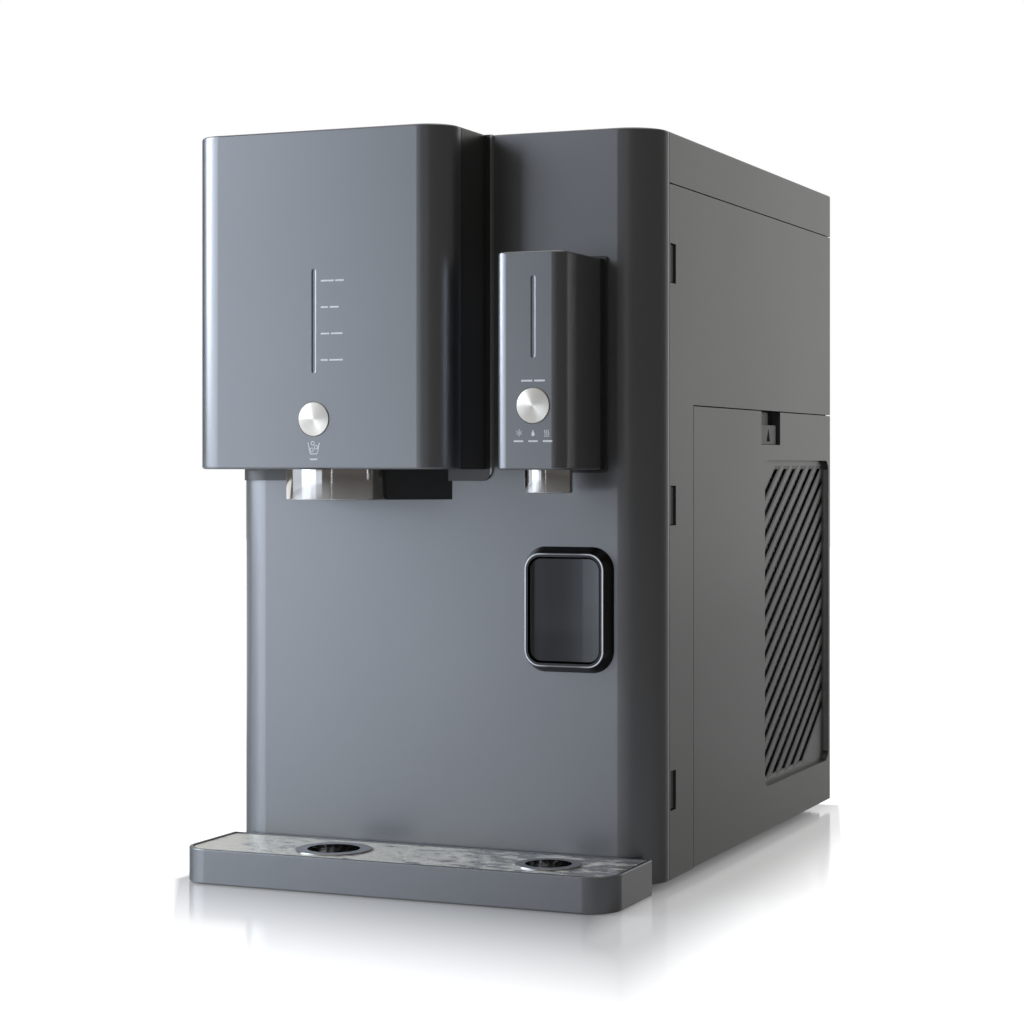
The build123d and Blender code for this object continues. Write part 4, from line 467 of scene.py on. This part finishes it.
def steam_sign(made, centre, size, face_y):
    """Steam: three waves side by side over a line."""
    for step in (-1, 0, 1):
        wave = []
        for part in range(9):
            share = part / 8
            wave.append((centre[0] + step * size * 0.28 + math.sin(share * 2 * math.pi) * size * 0.07,
                         centre[1] - size * 0.28 + share * size * 0.7))
        stroke(made, wave, face_y, width=thin_ink)
    low = centre[1] - size * 0.45
    stroke(made, [(centre[0] - size * 0.4, low), (centre[0] + size * 0.4, low)], face_y, width=thin_ink)


def cup_sign(made, centre, size, face_y):
    """Cup, open above, with three round lumps of ice in it."""
    half = size * 0.45
    foot = size * 0.30
    low = centre[1] - size * 0.45
    stroke(made, [(centre[0] - half, centre[1] + size * 0.35), (centre[0] - foot, low + size * 0.08),
                  (centre[0] - foot + size * 0.08, low), (centre[0] + foot - size * 0.08, low),
                  (centre[0] + foot, low + size * 0.08), (centre[0] + half, centre[1] + size * 0.35)],
           face_y)
    for x, z in ((-0.16, -0.16), (0.18, 0.02), (-0.08, 0.30)):
        lump = circle((centre[0] + x * size, centre[1] + z * size), size * 0.13, 12)
        stroke(made, lump, face_y, closed=True, width=ink_width * 0.8)


def word_bars(made, left, z, lengths, face_y):
    """Short bars in the place of words."""
    for length in lengths:
        stroke(made, [(left, z), (left + length, z)], face_y, width=bar_height)
        left += length + bar_gap


def printed(name, made, body):
    """Finishes a group of printed marks."""
    piece = to_object(name, made)
    piece.data.materials.append(pale_ink)
    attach(piece, body)


ice_face_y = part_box("ice_head_shell")[0].y
water_face_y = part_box("water_head_shell")[0].y
guide_low, guide_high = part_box("ice_light_guide")
guide_x = (guide_low.x + guide_high.x) / 2
button_low, button_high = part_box("ice_button")
ice_button_z = (button_low.z + button_high.z) / 2
rows = ((0.0093, 0.0062), (0.0052, 0.0066), (0.0062, 0.0084), (0.0050, 0.0098))
rows_aside = 0.0052
row_top = guide_high.z - 0.0095
row_pitch = 0.0172
cup_size = 0.0092
cup_drop = 0.0185
cup_word = 0.0056
cup_word_drop = 0.0262

marks = bmesh.new()
for step, lengths in enumerate(rows):
    word_bars(marks, guide_x + rows_aside, row_top - step * row_pitch, lengths, ice_face_y)
cup_sign(marks, (guide_x, ice_button_z - cup_drop), cup_size, ice_face_y)
word_bars(marks, guide_x - cup_word / 2, ice_button_z - cup_word_drop, (cup_word,), ice_face_y)
printed("ice_head_marks", marks, "cabinet")

button_low, button_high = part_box("water_button")
water_button_x = (button_low.x + button_high.x) / 2
water_button_z = (button_low.z + button_high.z) / 2
sign_size = 0.0044
sign_pitch = 0.0092
sign_drop = 0.0171
sign_word = 0.0064
sign_word_pitch = 0.0098
sign_word_drop = 0.0222
top_words = (0.0076, 0.0072)
top_words_left = 0.0080
top_words_rise = 0.0155

marks = bmesh.new()
for step, sign in ((-1, snow_sign), (0, drop_sign), (1, steam_sign)):
    centre = (water_button_x + step * sign_pitch, water_button_z - sign_drop)
    sign(marks, centre, sign_size, water_face_y)
    word_x = water_button_x + step * sign_word_pitch - sign_word / 2
    word_bars(marks, word_x, water_button_z - sign_word_drop, (sign_word,), water_face_y)
word_bars(marks, water_button_x - top_words_left, water_button_z + top_words_rise, top_words,
          water_face_y)
printed("water_head_marks", marks, "cabinet")


# Rings of the ice outlet and the nozzle: turned brass, plated with a dark chrome that mirrors
# the room in upright bands. The rings of the tray's drains have a darker, duller plating.
smear_size = 0.012
smear_wear = 0.05
polish_grain = 0.0006
polish_grain_depth = 0.0000015
ring_roll = 0.0008
ring_steps = 128


def polished(name, dark, light, roughness):
    """Bright metal with faint cleaning marks."""
    material, start = new_material(name)
    smear = noise(start, smear_size, (1, 1, 0.4))
    fine = noise(start, polish_grain, detail=2.0)
    surface(start, {
        "Base Color": mix(smear, dark, light),
        "Metallic": 1.0,
        "Roughness": roughness + smear * smear_wear,
        "Normal": relief(fine, polish_grain_depth),
    })
    return material


def chrome_ring(node, band, turns, start_turn):
    """Ring turned smooth, of the same outside as its CAD piece, with a lower edge rolled in."""
    low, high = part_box(node)
    radius = (high.x - low.x) / 2
    tall = high.z - low.z
    profile = [(radius, tall), (radius, ring_roll)]
    profile += [(radius - ring_roll * inward, ring_roll * up)
                for inward, up in ((0.1, 0.6), (0.3, 0.3), (0.6, 0.1), (1.0, 0.0))]
    profile += [(radius - band, 0), (radius - band, tall)]
    piece = lathe(node + "_turned", profile, turns, ring_steps)
    piece.location = ((low.x + high.x) / 2, low.y + radius, low.z)
    piece.rotation_euler = (0, 0, start_turn)
    piece.data.materials.append(dark_chrome)
    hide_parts(node)
    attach(piece, "cabinet")


dark_chrome = polished("dark_chrome", grey(0.56, 0.04), grey(0.64, 0.04), 0.06)
chrome_ring("ice_outlet_ring", 0.0020, 0.5, math.pi)
chrome_ring("nozzle_ring", 0.0022, 1.0, 0.0)
dress(polished("satin_chrome", grey(0.34, 0.02), grey(0.48, 0.02), 0.10),
      "ice_drain_ring", "water_drain_ring")


# Tray deck: polished stainless plate with a faint hammered pattern. Pale cream patches are painted
# over it as painted reflections of the bright room, fewer of them towards the right.
sheen_fade_from = -0.02
sheen_fade_to = 0.15
sheen_fade_low = 0.40
sheen_fade_high = 0.60
sheen_edge = 0.08
painted_sheen_colour = (0.84, 0.81, 0.72, 1)
patch_size = 0.013
hammer_size = 0.006
hammer_depth = 0.0009

deck_steel, start = new_material("deck_steel")
hammer = noise(start, hammer_size, detail=2.0)
patches = noise(start, patch_size, (1, 1.8, 1), detail=8.0)
sheen_fade = ramp(place(start, "X"), sheen_fade_from, sheen_fade_to, sheen_fade_low, sheen_fade_high, "LINEAR")
# Pale cream painted in patches, thinning out to the right: a painted reflection.
painted_sheen = ramp(patches - sheen_fade, -sheen_edge, sheen_edge, kind="LINEAR")
surface(start, {
    "Base Color": mix(painted_sheen, grey(0.60, 0.02), painted_sheen_colour),
    "Metallic": 0.85 - painted_sheen * 0.45,
    "Roughness": 0.16 + patches * 0.2 + painted_sheen * 0.2,
    "Normal": relief(hammer, hammer_depth),
})
dress(deck_steel, "tray_deck")


# Push paddle: a bezel of smoked chrome with a thin bright rim polished round its opening, and
# a dished black plate moulded with a high gloss, whose hollow is deeper on its left.
bezel_low, bezel_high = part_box("paddle_bezel")
paddle_x = (bezel_low.x + bezel_high.x) / 2
bezel_corner = 0.015
rim_depth = 0.0006
rim_from = 0.0036
rim_to = 0.0050
# The bright rim is painted dull in the middle of its top and bottom and bright towards its sides:
# painted shade and highlight.
rim_painted_shade = 0.25
rim_painted_shade_to = 0.010
rim_painted_highlight_from = 0.024
chrome_grain = 0.004
chrome_grain_depth = 0.000002
dish_curve = 2.2
dish_tilt = 0.12
gloss_grain = 0.02
gloss_grain_depth = 0.000004
gloss_dark = (0.004, 0.005, 0.007, 1)
gloss_light = (0.008, 0.009, 0.011, 1)

bezel_metal, start = new_material("bezel_metal")
front = place(start, "Y") < bezel_low.y + rim_depth
inset = 0.0 - beyond(start, bezel_low, bezel_high, bezel_corner)
rim = front * between(inset, rim_from, rim_to)
from_middle = maths("ABSOLUTE", place(start, "X") - paddle_x)
rim_painted_light = ramp(from_middle, rim_painted_shade_to, rim_painted_highlight_from, rim_painted_shade, kind="LINEAR")
fine = noise(start, chrome_grain)
surface(start, {
    "Base Color": mix(rim * rim_painted_light, grey(0.05), grey(0.66)),
    "Metallic": 1.0,
    "Roughness": 0.13 + fine * 0.05,
    "Normal": relief(fine, chrome_grain_depth),
})
dress(bezel_metal, "paddle_bezel")

gloss_black, start = new_material("gloss_black")
fine = noise(start, gloss_grain)
across = place(start, "X") - paddle_x
dish = across * across * dish_curve - across * dish_tilt
surface(start, {
    "Base Color": mix(fine, gloss_dark, gloss_light),
    "Roughness": 0.22 + fine * 0.04,
    "Coat Weight": 0.6,
    "Normal": relief(dish, 1.0, relief(fine, gloss_grain_depth)),
})
dress(gloss_black, "paddle_plate")


# Spout bodies, latch, base and feet, and the working parts inside that are not of metal. They
# are moulded from plastic and rubber, with the grain of their moulds, and clip or screw in
# place. The circuit boards and the tank's foam are dressed here too.
mould_cloud = 0.05


def moulded(name, dark, light, roughness=0.45, grain=0.0005, depth=0.00001):
    """Plastic or rubber with the fine grain of its mould and a cloudy tone."""
    material, start = new_material(name)
    cloud = noise(start, mould_cloud)
    texture = noise(start, grain, detail=2.0)
    surface(start, {
        "Base Color": mix(cloud * 0.6 + texture * 0.4, dark, light),
        "Roughness": roughness + texture * 0.08,
        "Normal": relief(texture, depth),
    })
    return material


dress(moulded("spout_plastic", grey(0.028), grey(0.040)), "ice_chute", "ice_gate", "water_nozzle")
dress(moulded("base_plastic", grey(0.024), grey(0.034), 0.5), "base_pan", "paddle_switch",
      "fan_shroud", "auger", "ice_maker_frame")
dress(moulded("latch_plastic", grey(0.16), grey(0.20), 0.4), "service_latch")
dress(moulded("foot_rubber", grey(0.016), grey(0.024), 0.8, 0.0008, 0.00003), "rubber_feet")
dress(moulded("white_plastic", grey(0.62), grey(0.72), 0.4), "water_inlet_fitting", "drain_fitting",
      "filter_manifold", "sediment_filter", "carbon_filter", "membrane_filter", "ice_tray",
      "ice_bin", "water_tubes")
dress(moulded("black_plastic", grey(0.018), grey(0.026), 0.4), "power_inlet", "fan_motor",
      "condenser_fan", "ice_tray_motor", "auger_motor", "water_valves")
dress(moulded("circuit_green", (0.02, 0.10, 0.05, 1), (0.03, 0.14, 0.07, 1), 0.35),
      "ice_button_board", "water_button_board", "control_board")
dress(moulded("foam", (0.72, 0.68, 0.54, 1), (0.82, 0.78, 0.64, 1), 0.85, 0.002, 0.0003),
      "cold_tank_insulation")


# Metal parts inside and behind: frame, rear panel and condenser of galvanised sheet with its
# spangle, lines of drawn copper, tanks of stainless steel and the enamelled compressor.
spangles_per_metre = 90.0
sheet_cloud = 0.08
sheet_wave_depth = 0.00008

galvanised, start = new_material("galvanised")
at = start.node("ShaderNodeTexCoord", output="Object")
spangle = at.node("ShaderNodeTexVoronoi", {"feature": "F1"},
                  {"Vector": at, "Scale": spangles_per_metre}, "Color")
spangle = spangle.node("ShaderNodeSeparateColor", inputs={0: spangle}, output=0)
cloud = noise(start, sheet_cloud)
surface(start, {
    "Base Color": mix(spangle * 0.6 + cloud * 0.4, grey(0.34, -0.01), grey(0.46, -0.01)),
    "Metallic": 0.9,
    "Roughness": 0.34 + spangle * 0.16,
    "Normal": relief(cloud, sheet_wave_depth),
})
dress(galvanised, "rear_panel", "chassis_frame", "condenser")
dress(polished("tank_steel", grey(0.42), grey(0.54), 0.22), "cold_tank", "hot_tank", "evaporator")
dress(polished("screw_steel", grey(0.36), grey(0.50), 0.25), "rear_screws", "paddle_spring")
dress(polished("drawn_copper", (0.62, 0.27, 0.14, 1), (0.78, 0.38, 0.22, 1), 0.2), "refrigerant_lines")
dress(moulded("black_enamel", grey(0.010), grey(0.016), 0.25, 0.001), "compressor")


# Floor and backdrop: one smooth white sheet. In front of the object and beside its right side its
# glow to the camera is painted lower, as painted shade that fades out, so that the object's shade and
# soft mirror image show there. To other rays it is painted darker towards the right, as painted shade.
floor_half = 6.0
fade_front = 0.27
fade_start = 0.12
fade_tilt = 0.35
fade_side = 0.115
shade_side = (-0.03, 0.02)
shade_side_share = 0.38
left_border = (0.858, 0.514)
left_border_back = 0.010
back_border = (0.966, 0.259)
border_soft = 0.015
white_behind = (0.3, 0.6)
white_left = (0.1, 0.3)
bounce_fade = (-0.05, 0.25)

made = bmesh.new()
corners = [made.verts.new((x, y, 0)) for x, y in ((-1, -1), (1, -1), (1, 1), (-1, 1))]
for corner in corners:
    corner.co *= floor_half
made.faces.new(corners)
floor = to_object("floor", made)

floor_white, start = new_material("floor_white")


def white_rays(start, behind):
    """Rays that meet the white background: the camera's, and mirrored or clear ones behind."""
    camera_ray = start.node("ShaderNodeLightPath", output="Is Camera Ray")
    clear_ray = start.node("ShaderNodeLightPath", output="Is Transmission Ray")
    mirror_ray = start.node("ShaderNodeLightPath", output="Is Glossy Ray")
    return maths("MAXIMUM", maths("MAXIMUM", camera_ray, clear_ray), mirror_ray * behind)


floor_x = place(start, "X")
floor_y = place(start, "Y")
tray_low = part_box("tray_body")[0]
# Glow to the camera painted lower in front of the object and beside its right side: painted shade.
ahead = (cad_box[0].y - floor_y) * (1 / fade_front) - floor_x * fade_tilt + fade_start
past_right = floor_x - cad_box[1].x
painted_side_shade = ramp(past_right, *shade_side) * shade_side_share
aside = painted_side_shade + ramp(past_right, shade_side[1], fade_side) * (1.0 - shade_side_share)
past_side = cad_box[0].x - floor_x
past_rear = floor_y - cad_box[1].y
before_tray = tray_low.y + left_border_back - floor_y
past_left = (tray_low.x - floor_x) * left_border[0] + before_tray * left_border[1]
past_back = past_right * back_border[0] + past_rear * back_border[1]
outside = maths("MAXIMUM", past_side, past_rear)
outside = maths("MAXIMUM", outside, maths("MAXIMUM", past_left, past_back))
fade = maths("MAXIMUM", maths("MAXIMUM", ahead, aside), ramp(outside, 0.0, border_soft))
fade = maths("MINIMUM", fade, 1.0)
white = white_rays(start, ramp(floor_y, *white_behind) * ramp(0.0 - floor_x, *white_left))
camera_ray = start.node("ShaderNodeLightPath", output="Is Camera Ray")
# To rays other than the camera's, the floor is painted darker to the right: painted shade.
bounce_painted_shade = mix(ramp(floor_x, *bounce_fade), grey(0.70), grey(0.46))
surface(start, {
    "Base Color": mix(camera_ray, bounce_painted_shade, grey(0.30)),
    "Roughness": 0.12,
    "Emission Color": mix(white * fade, grey(0), grey(1)),
    "Emission Strength": 1.0,
})
floor.data.materials.append(floor_white)


# Studio light: a tall soft box and soft walls on the left and in front, a thin strip in front,
# a panel behind on the right and a ceiling, in a dim room that looks white to the camera.
middle = (0, 0, 0.25)
daylight = (0.90, 1.0, 1.15)


def soft_box(name, size, position, brightness, tint=(1, 1, 1)):
    """Area lamp of that size, aimed at the middle of the object, with a face that bright."""
    data = bpy.data.lights.new(name, "AREA")
    data.shape = "RECTANGLE"
    data.size = size[0]
    data.size_y = size[1]
    data.energy = brightness * math.pi * size[0] * size[1]
    data.color = tint
    lamp = bpy.data.objects.new(name, data)
    bpy.context.scene.collection.objects.link(lamp)
    lamp.location = position
    aim = [there - here for there, here in zip(middle, position)]
    flat = math.hypot(aim[0], aim[1])
    lamp.rotation_euler = (math.atan2(flat, -aim[2]), 0, math.atan2(-aim[0], aim[1]))


soft_box("left_box", (0.7, 1.2), (-1.50, -0.62, 0.95), 8.0, daylight)
soft_box("left_wall", (1.6, 2.2), (-2.0, -0.80, 0.9), 0.75, daylight)
soft_box("front_wall", (1.5, 2.2), (-1.74, -2.30, 0.9), 1.2, daylight)
soft_box("bright_wall", (1.1, 2.0), (-2.0, -1.90, 0.8), 1.5, daylight)
soft_box("low_wall", (1.2, 0.5), (-1.00, -2.30, 0.0), 0.9, daylight)
soft_box("front_strip", (0.03, 1.6), (0.40, -2.36, 0.7), 2.5)
soft_box("back_panel", (1.1, 1.6), (0.72, 2.20, 0.8), 1.0)
soft_box("ceiling", (2.4, 2.4), (0, 0.1, 2.3), 1.0)

room_behind = (0.72, 0.90)
room_left = (0.0, 0.3)

world = bpy.data.worlds.new("studio")
bpy.context.scene.world = world
world.use_nodes = True
world.node_tree.nodes.clear()
start = Socket(world.node_tree)
way = start.node("ShaderNodeTexCoord", output="Generated")
way_x = way.node("ShaderNodeSeparateXYZ", inputs={0: way}, output="X")
way_y = way.node("ShaderNodeSeparateXYZ", inputs={0: way}, output="Y")
white = white_rays(start, ramp(way_y, *room_behind) * ramp(0.0 - way_x, *room_left))
room_colour = mix(white, grey(0.12, 0.04), grey(1))
room = start.node("ShaderNodeBackground", inputs={"Color": room_colour, "Strength": 1.0})
start.node("ShaderNodeOutputWorld", inputs={"Surface": room})


# Camera: level, at the height of the space for cups and to the right of the front, with the
# lens and the shift that give the photograph's frame.
camera_place = (0.6507, -1.5965, 0.2776)
camera_turn = 22.757
camera_focal_pixels = 2335.4
image_size = 1024
horizon_row = 464.26
sensor = 36

camera_data = bpy.data.cameras.new("camera")
camera_data.sensor_width = sensor
camera_data.lens = sensor * camera_focal_pixels / image_size
camera_data.shift_y = (horizon_row - image_size / 2) / image_size
camera = bpy.data.objects.new("camera", camera_data)
bpy.context.scene.collection.objects.link(camera)
camera.location = camera_place
camera.rotation_euler = (math.radians(90), 0, math.radians(camera_turn))
bpy.context.scene.camera = camera
bpy.context.scene.view_settings.view_transform = "Standard"
